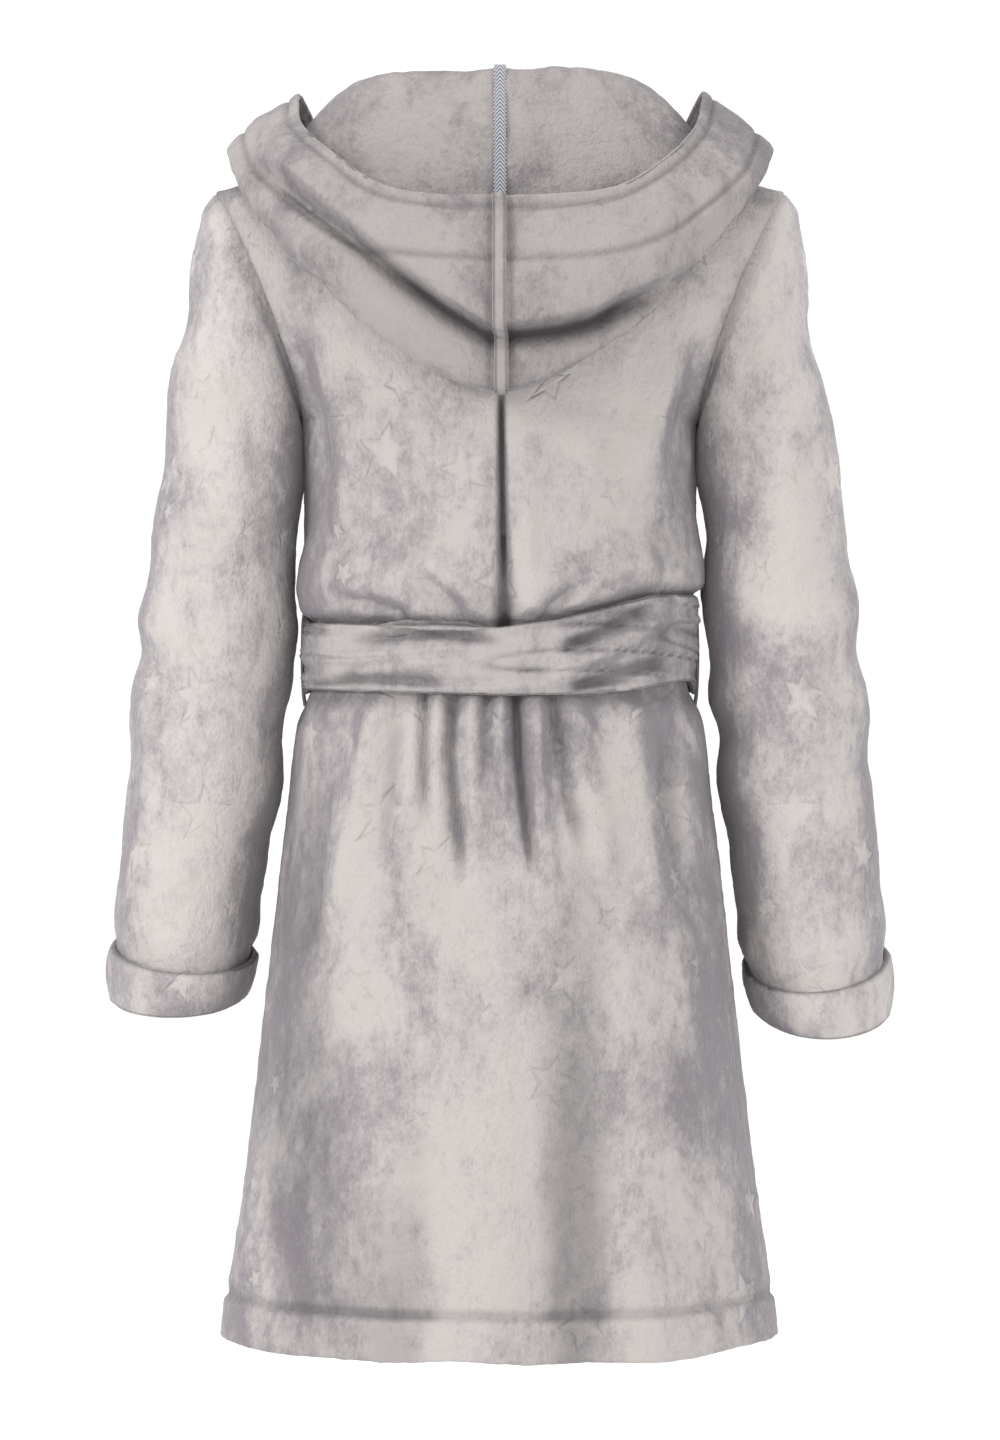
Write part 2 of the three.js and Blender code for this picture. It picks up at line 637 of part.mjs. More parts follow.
// The hood stands up round the neck, folds over and lies on the back as an open pouch. Its
// rails run from the centre back round the shoulder to the front V, for the wearer's left
// half, as [x, y from the neck's side, height over the neck point]. A rail is the line that
// one depth of the cloth follows: above the neck seam, at the top fold, where it falls, on both
// sides of the pouch's bottom, at its outer side and at the edge that frames the face.
const HOOD_RAILS = {
  standTop: [
    [0, 59, 50], [50, 54, 52], [86, 36, 48], [97, 22, 43],
    [102, 5, 36], [84, -70, -12], [38, -138, -126],
  ],
  foldTop: [
    [0, 71, 52], [56, 66, 53], [96, 48, 50], [110, 30, 45],
    [115, 8, 38], [96, -78, -8], [45, -142, -123],
  ],
  fall: [
    [0, 119, -92], [78, 110, -78], [126, 88, -42], [150, 60, -14],
    [160, 14, 4], [118, -84, -34], [57, -139, -130],
  ],
  turnIn: [
    [0, 133, -187], [80, 131, -149], [128, 106, -101], [160, 80, -57],
    [189, 17, 1], [140, -80, -54], [70, -133, -138],
  ],
  turnOut: [
    [0, 150, -186], [85, 147, -148], [140, 118, -100], [173, 89, -56],
    [204, 18, 2], [150, -92, -52], [79, -143, -136],
  ],
  outer: [
    [0, 164, -126], [92, 151, -96], [148, 120, -56], [184, 74, -22],
    [203, 12, 8], [152, -92, -44], [80, -144, -130],
  ],
  rim: [
    [0, 152, -46], [78, 141, -40], [113, 114, -19], [144, 70, 14],
    [153, 8, 50], [122, -94, -8], [60, -152, -112],
  ],
};
const HOOD_LINES = evenly(13);
const FACING_ROWS = 2;
const FACING_SHARE = 0.91;
const HOOD_SPANS = 7;
const HOOD_ROWS = [
  ...[0, 0.5, 1, 1.33, 1.67, 2, 2.5, 3, 3.5, 4, 4.25, 4.5, 4.75, 5, 5.5, 6].map((k) => k / HOOD_SPANS),
  ...evenly(FACING_ROWS, FACING_SHARE, 1),
];
const HOOD_END_LEVEL = 1.22;

// The neck seam, on the body's top edge behind and down the V in front.
const SEAM_BEHIND = 4 / 6;
function neckSeam(share, over) {
  if (share <= SEAM_BEHIND) {
    const x = NECK_HALF * Math.sin((share / SEAM_BEHIND) * QUARTER);
    const seat = new THREE.Vector3(0, 2 * (1 - x / NECK_HALF), 2 * GAP);
    return bodyPoint(1, angleOf(1, x, 2), 2).add(seat);
  }
  const forward = (share - SEAM_BEHIND) / (1 - SEAM_BEHIND);
  const level = lerp(2, HOOD_END_LEVEL, forward);
  const angle = angleOf(-1, edgeX(level) + 1.5 * Math.min(1, 3 * forward), level);
  const edge = bodyPoint(-1, angle, level, over ? wrapLift(angle, level) : 0);
  return edge.add(new THREE.Vector3(0, -FLEECE * Math.min(1, 5 * forward), 3 * GAP));
}

// A rail as a smooth curve whose tangent at the centre back runs straight across.
function railCurve(points) {
  const [centre, next, ...rest] = points;
  const opposite = new THREE.Vector3(-next.x, next.y, next.z);
  const curve = new THREE.CatmullRomCurve3([opposite, centre, next, ...rest], false, "centripetal");
  const spans = points.length;
  return (share) => curve.getPoint((1 + clamp(share, 0, 1) * (spans - 1)) / spans);
}

// The hood's front ends are drafted at one place of the V, and follow it from there.
const HOOD_END_FOLLOWS = [0, 0, 0, 0, 0, 0.5, 1];
function hoodRails(over) {
  const moved = edgeX(HOOD_END_LEVEL) - V_AT_HOOD_END;
  const placed = Object.values(HOOD_RAILS).map((rail) =>
    rail.map(([x, y, rise], k) =>
      new THREE.Vector3(x + moved * HOOD_END_FOLLOWS[k], y, NECK_HEIGHT + rise)),
  );
  return [(share) => neckSeam(clamp(share, 0, 1), over), ...placed.map(railCurve)];
}

// u runs from the centre back to the front end, v from the neck seam to the rim.
function hoodSurface(over) {
  const rails = hoodRails(over);
  return (u, v) => {
    const strip = new THREE.CatmullRomCurve3(rails.map((rail) => rail(u)), false, "centripetal");
    const point = strip.getPoint(clamp(v, 0, 1));
    point.x += SEAM / 2;
    return point;
  };
}

function hood(over) {
  const grid = { us: HOOD_LINES, vs: HOOD_ROWS, facing: -1 };
  return clothSheet(hoodSurface(over), { ...grid, thickness: FLEECE });
}

// The facing turned in along the rim, on the inner side of the cloth.
function hoodFacing(over) {
  const grid = { us: HOOD_LINES, vs: HOOD_ROWS.slice(-FACING_ROWS - 1), facing: -1 };
  return clothSheet(hoodSurface(over), { ...grid, thickness: FACING, lift: INSIDE - FACING });
}

// The tape over the centre seam's inner side, from the neck seam to the facing.
function hoodTape() {
  const cloth = hoodSurface(false);
  const surface = (u, v) => {
    const x = lerp(-SEAM_TAPE_WIDTH / 2, SEAM_TAPE_WIDTH / 2, u);
    const point = cloth(0, v);
    point.lerp(cloth(HOOD_LINES[1], v), Math.abs(x) / cloth(HOOD_LINES[1], v).x);
    point.x = x;
    return point;
  };
  const rows = HOOD_ROWS.slice(0, -FACING_ROWS);
  rows[0] = 0.02;
  rows[rows.length - 1] -= 0.01;
  const lift = INSIDE - GAP - TAPE;
  const grid = { us: evenly(2), vs: rows, facing: -1 };
  return clothSheet(surface, { ...grid, thickness: TAPE, lift });
}

// ---------------------------------------------------------------- assembly

const cloth = (color, roughness) =>
  new THREE.MeshStandardMaterial({ color, roughness, metalness: 0 });
const MATERIALS = {
  plush: cloth(0xbbb5b3, 0.95),
  facing: cloth(0xb1abab, 0.95),
  tape: cloth(0xa9a5a8, 0.8),
  label: cloth(0xe9e7e2, 0.7),
};

const garment = new THREE.Group();

function add(name, geometry, material) {
  geometry.computeVertexNormals();
  const mesh = new THREE.Mesh(geometry, MATERIALS[material]);
  mesh.name = name;
  garment.add(mesh);
}

add("back_panel", backPanel(), "plush");
add("front_panel_left", frontPanel(false), "plush");
add("front_panel_right", mirrored(frontPanel(true)), "plush");
add("front_band_left", frontBand(false), "facing");
add("front_band_right", mirrored(frontBand(true)), "facing");
add("hem_back", hemBack(), "facing");
add("hem_front_left", hemFront(false), "facing");
add("hem_front_right", mirrored(hemFront(true)), "facing");
add("sleeve_left", sleeve(), "plush");
add("sleeve_right", mirrored(sleeve()), "plush");
add("cuff_left", cuff(), "plush");
add("cuff_right", mirrored(cuff()), "plush");
add("belt", belt(), "plush");
add("belt_loop_left", beltLoop(), "plush");
add("belt_loop_right", mirrored(beltLoop()), "plush");
add("belt_knot", beltKnot(), "plush");
add("belt_end_left", beltEnd(), "plush");
add("belt_end_right", mirrored(beltEnd()), "plush");
add("pocket_left", pocket(false), "plush");
add("pocket_right", mirrored(pocket(true)), "plush");
add("pocket_hem_left", pocketHem(false), "facing");
add("pocket_hem_right", mirrored(pocketHem(true)), "facing");
add("neck_tape", neckTape(), "tape");
add("hanging_loop", hangingLoop(), "tape");
add("neck_label", neckLabel(), "label");
add("care_label", careLabel(), "label");

for (const side of ["left", "right"]) {
  const over = side === "right";
  const place = over ? mirrored : (geometry) => geometry;
  const [collar, drape] = cutAcross(hood(over), HOOD_HINGE_Y);
  const [collarFacing, drapeFacing] = cutAcross(hoodFacing(over), HOOD_HINGE_Y);
  add("hood_collar_" + side, place(collar), "plush");
  add("hood_drape_" + side, place(drape), "plush");
  add("collar_facing_" + side, place(collarFacing), "facing");
  add("hood_facing_" + side, place(drapeFacing), "facing");
}
const [standTape, drapeTape] = cutAcross(hoodTape(), HOOD_HINGE_Y);
add("neck_seam_tape", standTape, "tape");
add("hood_seam_tape", drapeTape, "tape");

// The origin is at the hanging loop: the middle of the gap that a hook goes through.
garment.position.set(0, HANGER_BOW / 2 - NECK_BACK_DEPTH, -HANGER_HEIGHT);

const robe = new THREE.Group();
robe.add(garment);
export default robe;
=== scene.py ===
"""A short hooded plush bathrobe in its worn shape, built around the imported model."""
import json
import math

import bpy
import numpy as np
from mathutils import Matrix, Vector

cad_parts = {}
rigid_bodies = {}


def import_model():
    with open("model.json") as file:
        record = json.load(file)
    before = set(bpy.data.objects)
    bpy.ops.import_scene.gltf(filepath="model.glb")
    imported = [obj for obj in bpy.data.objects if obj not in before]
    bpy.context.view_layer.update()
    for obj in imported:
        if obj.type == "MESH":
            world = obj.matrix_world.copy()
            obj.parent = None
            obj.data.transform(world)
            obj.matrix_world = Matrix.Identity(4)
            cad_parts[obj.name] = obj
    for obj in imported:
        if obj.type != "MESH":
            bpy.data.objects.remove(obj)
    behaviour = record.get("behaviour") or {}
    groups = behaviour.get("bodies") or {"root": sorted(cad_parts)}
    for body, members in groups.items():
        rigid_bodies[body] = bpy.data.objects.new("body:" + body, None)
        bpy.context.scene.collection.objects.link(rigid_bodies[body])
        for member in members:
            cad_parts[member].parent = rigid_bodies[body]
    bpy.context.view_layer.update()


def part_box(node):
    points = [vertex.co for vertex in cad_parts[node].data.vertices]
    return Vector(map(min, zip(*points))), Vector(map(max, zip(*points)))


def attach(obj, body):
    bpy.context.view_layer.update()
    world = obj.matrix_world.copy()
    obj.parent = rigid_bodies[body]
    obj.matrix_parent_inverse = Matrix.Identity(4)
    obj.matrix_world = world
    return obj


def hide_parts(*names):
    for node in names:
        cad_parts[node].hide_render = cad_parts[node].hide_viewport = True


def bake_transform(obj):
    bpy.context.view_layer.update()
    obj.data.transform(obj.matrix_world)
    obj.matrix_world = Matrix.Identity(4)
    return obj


for old in list(bpy.data.objects):
    bpy.data.objects.remove(old)
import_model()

# ---------------------------------------------------------------- measures, in millimetres
# Heights are from the hem; the part's origin is at the hanging loop.
ORIGIN = np.array([0.0, 50.5, 879.1])
MM = 0.001
SEAM = 0.6
PLUSH = 4.0
FACING = 3.0
ARMPIT = 690.0
SHOULDER = 866.0
SHOULDER_HALF = 216.0
NECK = 892.0
NECK_HALF = 76.0
NECK_BACK = 58.0
NAPE_DROP = 8.0
CHEST_HALF = 150.0
CHEST = {1: 122.0, -1: 132.0}
ARMHOLE_HALF_DEPTH = 60.0
BELT_LOW, BELT_HIGH = 485.0, 545.0
WRAP = 45.0
WRAP_LIFT = 9.0
BAND = 45.0
HEM = 34.0
TAU = 2 * math.pi


def smooth(x, a, b):
    t = np.clip((np.asarray(x, float) - a) / (b - a), 0, 1)
    return t * t * (3 - 2 * t)


def mix(a, b, t):
    return a + (b - a) * t


def size(v):
    return np.linalg.norm(v, axis=-1)


def row(*point):
    """A point of the garment, in the part's own frame and in metres."""
    return tuple((np.array(point, float) - ORIGIN) * MM)


def corners(node):
    """A CAD node's lowest and highest corners, in millimetres from the hem."""
    return [np.array(c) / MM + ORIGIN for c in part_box(node)]


# ---------------------------------------------------------------- noise and folds


def _hash(i, j, k, seed):
    v = np.sin(i * 127.1 + j * 311.7 + k * 74.7 + seed * 53.3) * 43758.5453
    return v - np.floor(v)


def noise(p, grain, seed=0.0):
    """Smooth noise from -1 to 1 over points p; grain is one number or one per axis."""
    q = np.asarray(p, float) / np.asarray(grain, float)
    base = np.floor(q)
    f = q - base
    f = f * f * (3 - 2 * f)
    i, j, k = base[..., 0], base[..., 1], base[..., 2]
    fx, fy, fz = f[..., 0], f[..., 1], f[..., 2]
    out = 0.0
    for dx, wx in ((0, 1 - fx), (1, fx)):
        for dy, wy in ((0, 1 - fy), (1, fy)):
            for dz, wz in ((0, 1 - fz), (1, fz)):
                out = out + _hash(i + dx, j + dy, k + dz, seed) * wx * wy * wz
    return out * 2 - 1


def pile(p, seed=0.0):
    """The lumpy surface of cut pile."""
    return 0.55 * noise(p, 13, seed) + 0.4 * noise(p, 6.5, seed + 3) + 0.22 * noise(p, 3.6, seed + 7)


def ridge(x, z, points, height, width, fade=0.25):
    """A soft fold along a line of (x, z) points. It fades out at both ends."""
    pts = np.array(points, float)
    seg = size(np.diff(pts, axis=0))
    start = np.concatenate([[0], np.cumsum(seg)])
    best = np.full(np.shape(x), 1e9)
    along = np.zeros(np.shape(x))
    for k in range(len(pts) - 1):
        d = pts[k + 1] - pts[k]
        t = np.clip(((x - pts[k, 0]) * d[0] + (z - pts[k, 1]) * d[1]) / (d @ d), 0, 1)
        dist = np.hypot(x - pts[k, 0] - t * d[0], z - pts[k, 1] - t * d[1])
        near = dist < best
        best = np.where(near, dist, best)
        along = np.where(near, (start[k] + t * seg[k]) / start[-1], along)
    ends = smooth(along, 0, fade) * smooth(1 - along, 0, fade) if fade else 1.0
    return height * np.exp(-((best / width) ** 2)) * ends


def folds(x, z, table):
    return sum(ridge(x, z, *row) for row in table)


# ---------------------------------------------------------------- base surfaces

RING_Z = [0, 467, BELT_LOW, BELT_HIGH, 567, ARMPIT]
RINGS = {"half": [207, 154, 142, 142, 148, 150], 1: [165, 118, 110, 110, 118, 122],
         -1: [150, 112, 104, 104, 112, 132]}
_fine = np.arange(-60, 751, 1.0)
_kernel = np.exp(-0.5 * (np.arange(-24, 25) / 8.0) ** 2)
_kernel /= _kernel.sum()
_soft = {}
for _key, _values in RINGS.items():
    _line = np.interp(_fine, RING_Z, _values)
    _line[:60] = _line[60] + (60 - np.arange(60)) * (_line[60] - _line[61])
    _soft[_key] = np.convolve(np.pad(_line, 24, mode="edge"), _kernel, "valid")


def ring(key, z):
    return np.interp(z, _fine, _soft[key])


def rise_of(level):
    return np.sin(np.clip(level - 1, 0, 1) * math.pi / 2)


def side_angle(face, level):
    rise = rise_of(level)
    return np.arccos(2 * ARMHOLE_HALF_DEPTH / CHEST[face] * np.sqrt(rise / (1 + rise)))


def armhole_x(rise):
    return CHEST_HALF + (SHOULDER_HALF - CHEST_HALF) * rise ** 1.35


def top_height(x):
    out = (np.abs(x) - NECK_HALF) / (SHOULDER_HALF - NECK_HALF)
    return NECK - (NECK - SHOULDER) * np.clip(out, 0, 1.05)


def oval_half(face, level):
    low = ring("half", np.clip(level, 0, 1) * ARMPIT)
    high = armhole_x(rise_of(level)) / np.sin(side_angle(face, level))
    return np.where(level <= 1, low, high * low / CHEST_HALF)


def body(face, angle, level, lift=0.0):
    """A point of the body, as in the CAD model: face 1 is behind and -1 in front."""
    angle, level = np.broadcast_arrays(np.asarray(angle, float), np.asarray(level, float))
    depth = ring(face, np.clip(level, 0, 1) * ARMPIT) + lift
    x = (oval_half(face, level) + lift * (level < 1)) * np.sin(angle)
    rise = rise_of(level)
    in_neck = np.clip(np.abs(x) / NECK_HALF, 0, 1)
    neck = NECK_BACK * np.cos(in_neck * math.pi / 2) * (face > 0)
    nape = NAPE_DROP * (1 - in_neck ** 2) * (face > 0)
    y_high = neck + (depth * np.cos(angle) - neck) * np.sqrt(1 - rise * rise)
    z_high = ARMPIT + (top_height(x) - nape - ARMPIT) * rise
    low = level <= 1
    y = np.where(low, depth * np.cos(angle), y_high)
    z = np.where(low, level * ARMPIT, z_high)
    return np.stack([x, face * (y + SEAM / 2), z], -1)


def body_normal(face, angle, level, lift=0.0):
    """The outward direction, taken along the rings and straight up them."""
    e = 0.004
    across = body(face, angle + e, level, lift) - body(face, angle - e, level, lift)
    up = body(face, angle, np.minimum(level + e, 2), lift) - body(face, angle, level - e, lift)
    n = np.cross(across, up) * -face
    return n / np.maximum(np.linalg.norm(n, axis=-1, keepdims=True), 1e-9)


def angle_of(face, x, level):
    return np.arcsin(np.clip(x / oval_half(face, level), -1, 1))


def edge_x(level):
    height = np.where(level < 1, level * ARMPIT, mix(ARMPIT, NECK, rise_of(level)))
    share = np.clip((height - 567) / (NECK - 567), 0, 1)
    return mix(-WRAP, NECK_HALF, (share + np.sin(share * math.pi / 2) ** 2) / 2)


def wrap_lift(angle, level):
    inwards = smooth(side_angle(-1, level) - angle, 0, math.radians(45))
    return WRAP_LIFT * inwards * (1 - smooth(level, 1.1, 1.6))


def level_of(z):
    return z / ARMPIT


def body_levels(step=4.0):
    low = np.linspace(0, 1, int(ARMPIT / step) + 1)
    turn = np.linspace(math.pi, 0, 56)[3:]
    high = 1 + np.arcsin((1 + np.cos(turn)) / 2) / (math.pi / 2)
    return np.concatenate([low, high])


def sleeve_tube(turn, along):
    a = np.maximum(along, 0)
    outer_x = SHOULDER_HALF + 73 * (1 - np.maximum(0, 1 - along) ** 1.6)
    under_x = CHEST_HALF + 4 * (1 - np.maximum(0, 1 - along) ** 6) + 43 * a ** 2.4
    outer_z = SHOULDER - 608 * along
    under_z = ARMPIT - 429 * along
    depth = mix(ARMHOLE_HALF_DEPTH, 66, smooth(along, 0, 0.3)) - 3 * along
    x = (outer_x + under_x) / 2 + (outer_x - under_x) / 2 * np.cos(turn)
    y = depth * np.sin(turn) - 34 * a ** 1.5
    z = (outer_z + under_z) / 2 + (outer_z - under_z) / 2 * np.cos(turn)
    return np.stack([x, y, z - 9 * along * np.sin(turn)], -1)


def sleeve_surface(turn, along):
    turn, along = np.broadcast_arrays(np.asarray(turn, float), np.asarray(along, float))
    rise = (1 + np.cos(turn)) / 2
    x = armhole_x(rise)
    edge = np.stack([x, ARMHOLE_HALF_DEPTH * np.sin(turn), ARMPIT + (top_height(x) - ARMPIT) * rise], -1)
    settle = np.clip(1 - along / 0.16, 0, 1) ** 2
    shape = (edge - sleeve_tube(turn, np.zeros_like(along))) * settle[..., None]
    return sleeve_tube(turn, along) + shape + np.array([SEAM, 0, 0])


def catmull(points, t):
    """Centripetal curve through points (n, k, 3) at shares t (m): (m, k, 3)."""
    n = len(points)
    first = 2 * points[0] - points[1]
    last = 2 * points[-1] - points[-2]
    p = np.concatenate([[first], points, [last]])
    s = np.clip(t, 0, 1) * (n - 1)
    i = np.minimum(s.astype(int), n - 2)
    w = (s - i)[:, None, None]
    p0, p1, p2, p3 = p[i], p[i + 1], p[i + 2], p[i + 3]
    gap = [np.maximum(np.linalg.norm(b - a, axis=-1, keepdims=True) ** 0.5, 1e-4)
           for a, b in ((p0, p1), (p1, p2), (p2, p3))]
    t1 = (p1 - p0) / gap[0] - (p2 - p0) / (gap[0] + gap[1]) + (p2 - p1) / gap[1]
    t2 = (p2 - p1) / gap[1] - (p3 - p1) / (gap[1] + gap[2]) + (p3 - p2) / gap[2]
    t1, t2 = t1 * gap[1], t2 * gap[1]
    c2 = -3 * p1 + 3 * p2 - 2 * t1 - t2
    c3 = 2 * p1 - 2 * p2 + t1 + t2
    return p1 + t1 * w + c2 * w ** 2 + c3 * w ** 3


HOOD_RAILS = {
    "stand_top": [[0, 59, 50], [50, 54, 52], [86, 36, 48], [97, 22, 43],
                  [102, 5, 36], [84, -70, -12], [38, -138, -126]],
    "fold_top": [[0, 71, 52], [56, 66, 53], [96, 48, 50], [110, 30, 45],
                 [115, 8, 38], [96, -78, -8], [45, -142, -123]],
    "fall": [[0, 119, -92], [78, 110, -78], [126, 88, -42], [150, 60, -14],
             [160, 14, 4], [118, -84, -34], [57, -139, -130]],
    "turn_in": [[0, 133, -187], [80, 131, -149], [128, 106, -101], [160, 80, -57],
                [189, 17, 1], [140, -80, -54], [70, -133, -138]],
    "turn_out": [[0, 150, -186], [85, 147, -148], [140, 118, -100], [173, 89, -56],
                 [204, 18, 2], [150, -92, -52], [79, -143, -136]],
    "outer": [[0, 164, -126], [92, 151, -96], [148, 120, -56], [184, 74, -22],
              [203, 12, 8], [152, -92, -44], [80, -144, -130]],
    "rim": [[0, 152, -46], [78, 141, -40], [113, 114, -19], [144, 70, 14],
            [153, 8, 50], [122, -94, -8], [60, -152, -112]],
}
HOOD_END_LEVEL = 1.22


def neck_seam(share, over):
    behind = 4 / 6
    out = []
    for s in np.atleast_1d(share):
        if s <= behind:
            x = NECK_HALF * math.sin(s / behind * math.pi / 2)
            p = body(1, angle_of(1, x, 2.0), 2.0)
            out.append(p + [0, 2 * (1 - x / NECK_HALF), 0.8])
        else:
            forward = (s - behind) / (1 - behind)
            level = mix(2, HOOD_END_LEVEL, forward)
            angle = angle_of(-1, edge_x(level) + 1.5 * min(1, 3 * forward), level)
            lift = wrap_lift(angle, level) if over else 0.0
            out.append(body(-1, angle, level, lift) + [0, -PLUSH * min(1, 5 * forward), 1.2])
    return np.array(out)


def hood_surface(shares, rows, over):
    """The hood's half on the wearer's left: rows from the neck seam to the rim."""
    rails = [neck_seam(shares, over)]
    for rail in HOOD_RAILS.values():
        pts = np.array(rail, float) + [0, 0, NECK]
        pts = np.concatenate([[pts[1] * [-1, 1, 1]], pts])[:, None, :]
        rails.append(catmull(pts, (1 + shares * 6) / 7)[:, 0])
    grid = catmull(np.array(rails), rows)
    grid[..., 0] += SEAM / 2
    return grid


# ---------------------------------------------------------------- meshes


def normals(p, closed=False, sign=1):
    if closed:
        du = np.roll(p, -1, 1) - np.roll(p, 1, 1)
    else:
        du = np.gradient(p, axis=1)
    dv = np.gradient(p, axis=0)
    n = np.cross(du, dv) * sign
    return n / np.maximum(np.linalg.norm(n, axis=-1, keepdims=True), 1e-9)


def unit(v):
    return v / np.maximum(np.linalg.norm(v, axis=-1, keepdims=True), 1e-9)


def arcs(p, upright):
    """Distances along a grid's rows and columns, as flat coordinates."""
    across = size(np.diff(p, axis=1))
    au = np.concatenate([np.zeros((len(p), 1)), np.cumsum(across, 1)], 1)
    au -= au[:, au.shape[1] // 2][:, None]
    if upright:
        return au, p[..., 2]
    up = size(np.diff(p, axis=0))
    av = np.concatenate([np.zeros((1, p.shape[1])), np.cumsum(up, 0)], 0)
    return au, av


_serial = [0]


def build(name, p, thick, material, closed=False, sign=1, shade_and_nap=None, mirror=False, upright=True):
    """A closed mesh of cloth whose outer face is grid p. Its open edges are rounded."""
    p = np.array(p, float)
    n = normals(p, closed, sign)
    rows, cols = p.shape[:2]
    au, av = arcs(p, upright)
    _serial[0] += 1
    shade_and_nap = np.zeros((rows, cols)) if shade_and_nap is None else np.broadcast_to(shade_and_nap, (rows, cols))
    index = np.arange(rows * cols).reshape(rows, cols)
    if closed:
        loops = [index[0], index[-1][::-1]]
        outward = [unit(p[0] - p[1]), unit(p[-1] - p[-2])[::-1]]
    else:
        loop = np.concatenate([index[0], index[1:, -1], index[-1, -2::-1], index[-2:0:-1, 0]])
        eu = np.zeros_like(p)
        eu[:, 0] += unit(p[:, 0] - p[:, 1])
        eu[:, -1] += unit(p[:, -1] - p[:, -2])
        eu[0] += unit(p[0] - p[1])
        eu[-1] += unit(p[-1] - p[-2])
        loops = [loop]
        outward = [unit(eu.reshape(-1, 3)[loop])]
    outer = p.reshape(-1, 3).copy()
    flat_n = n.reshape(-1, 3)
    flat = np.stack([au.ravel(), av.ravel(), np.full(rows * cols, 777.0 * _serial[0])], -1)
    t = np.broadcast_to(np.asarray(thick, float), (rows, cols)).ravel()
    for lp, e in zip(loops, outward):
        outer[lp] -= e * (t[lp] / 2)[:, None]
    inside = outer - flat_n * t[:, None]
    verts = [outer, inside]
    flats = [flat, flat + [0, 0, 333.0]]
    dark = [shade_and_nap.ravel(), shade_and_nap.ravel()]
    base = 2 * rows * cols
    faces = []
    a, b = index[:-1, :], index[1:, :]
    if closed:
        q = np.stack([a, np.roll(a, -1, 1), np.roll(b, -1, 1), b], -1).reshape(-1, 4)
    else:
        q = np.stack([a[:, :-1], a[:, 1:], b[:, 1:], b[:, :-1]], -1).reshape(-1, 4)
    faces.append(q if sign > 0 else q[:, ::-1])
    faces.append((q[:, ::-1] if sign > 0 else q) + rows * cols)
    for lp, e in zip(loops, outward):
        m = len(lp)
        chain = [lp]
        half = t[lp][:, None] / 2
        mid = outer[lp] - flat_n[lp] * half
        for phi in (math.pi / 4, math.pi / 2, 3 * math.pi / 4):
            verts.append(mid + flat_n[lp] * half * math.cos(phi) + e * half * math.sin(phi))
            flats.append(flat[lp])
            dark.append(shade_and_nap.ravel()[lp])
            chain.append(base + np.arange(m))
            base += m
        chain.append(lp + rows * cols)
        for c, d in zip(chain[:-1], chain[1:]):
            q = np.stack([c, d, np.roll(d, -1), np.roll(c, -1)], -1)
            faces.append(q if sign > 0 else q[:, ::-1])
    co = (np.concatenate(verts) - ORIGIN) * MM
    face = np.concatenate(faces)
    if mirror:
        co[:, 0] *= -1
        face = face[:, ::-1]
    me = bpy.data.meshes.new(name)
    me.vertices.add(len(co))
    me.vertices.foreach_set("co", co.ravel())
    me.loops.add(face.size)
    me.loops.foreach_set("vertex_index", face.ravel().astype(np.int32))
    me.polygons.add(len(face))
    me.polygons.foreach_set("loop_start", np.arange(0, face.size, 4, dtype=np.int32))
    me.update(calc_edges=True)
    me.attributes.new("flat", "FLOAT_VECTOR", "POINT").data.foreach_set(
        "vector", (np.concatenate(flats) * MM).astype(np.float32).ravel())
    me.attributes.new("rest", "FLOAT_VECTOR", "POINT").data.foreach_set(
        "vector", (co + 0.37 * _serial[0]).astype(np.float32).ravel())
    # Painted shade inputs: how far each face turns sideways, and the shade value of grooves and folds;
    # the fleece darkens its colour by both.
    turned = 1 - np.abs(n[..., 1]).reshape(-1)
    turned = [turned, turned] + [turned[lp] for lp in loops for _ in range(3)]
    me.attributes.new("turned", "FLOAT", "POINT").data.foreach_set(
        "value", np.concatenate(turned).astype(np.float32))
    me.attributes.new("shade_and_nap", "FLOAT", "POINT").data.foreach_set(
        "value", np.concatenate(dark).astype(np.float32))
    me.shade_smooth()
    me.materials.append(material)
    o = bpy.data.objects.new(name, me)
    bpy.context.scene.collection.objects.link(o)
    return o


def place(o, on, nodes=(), blend=None):
    """Puts a piece on its body, or bakes it in place when it lies between two, and hides the model's
    parts that it stands for.
    """
    if blend:
        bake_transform(o)
    else:
        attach(o, on)
    if nodes:
        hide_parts(*nodes)
    return o


# ---------------------------------------------------------------- materials


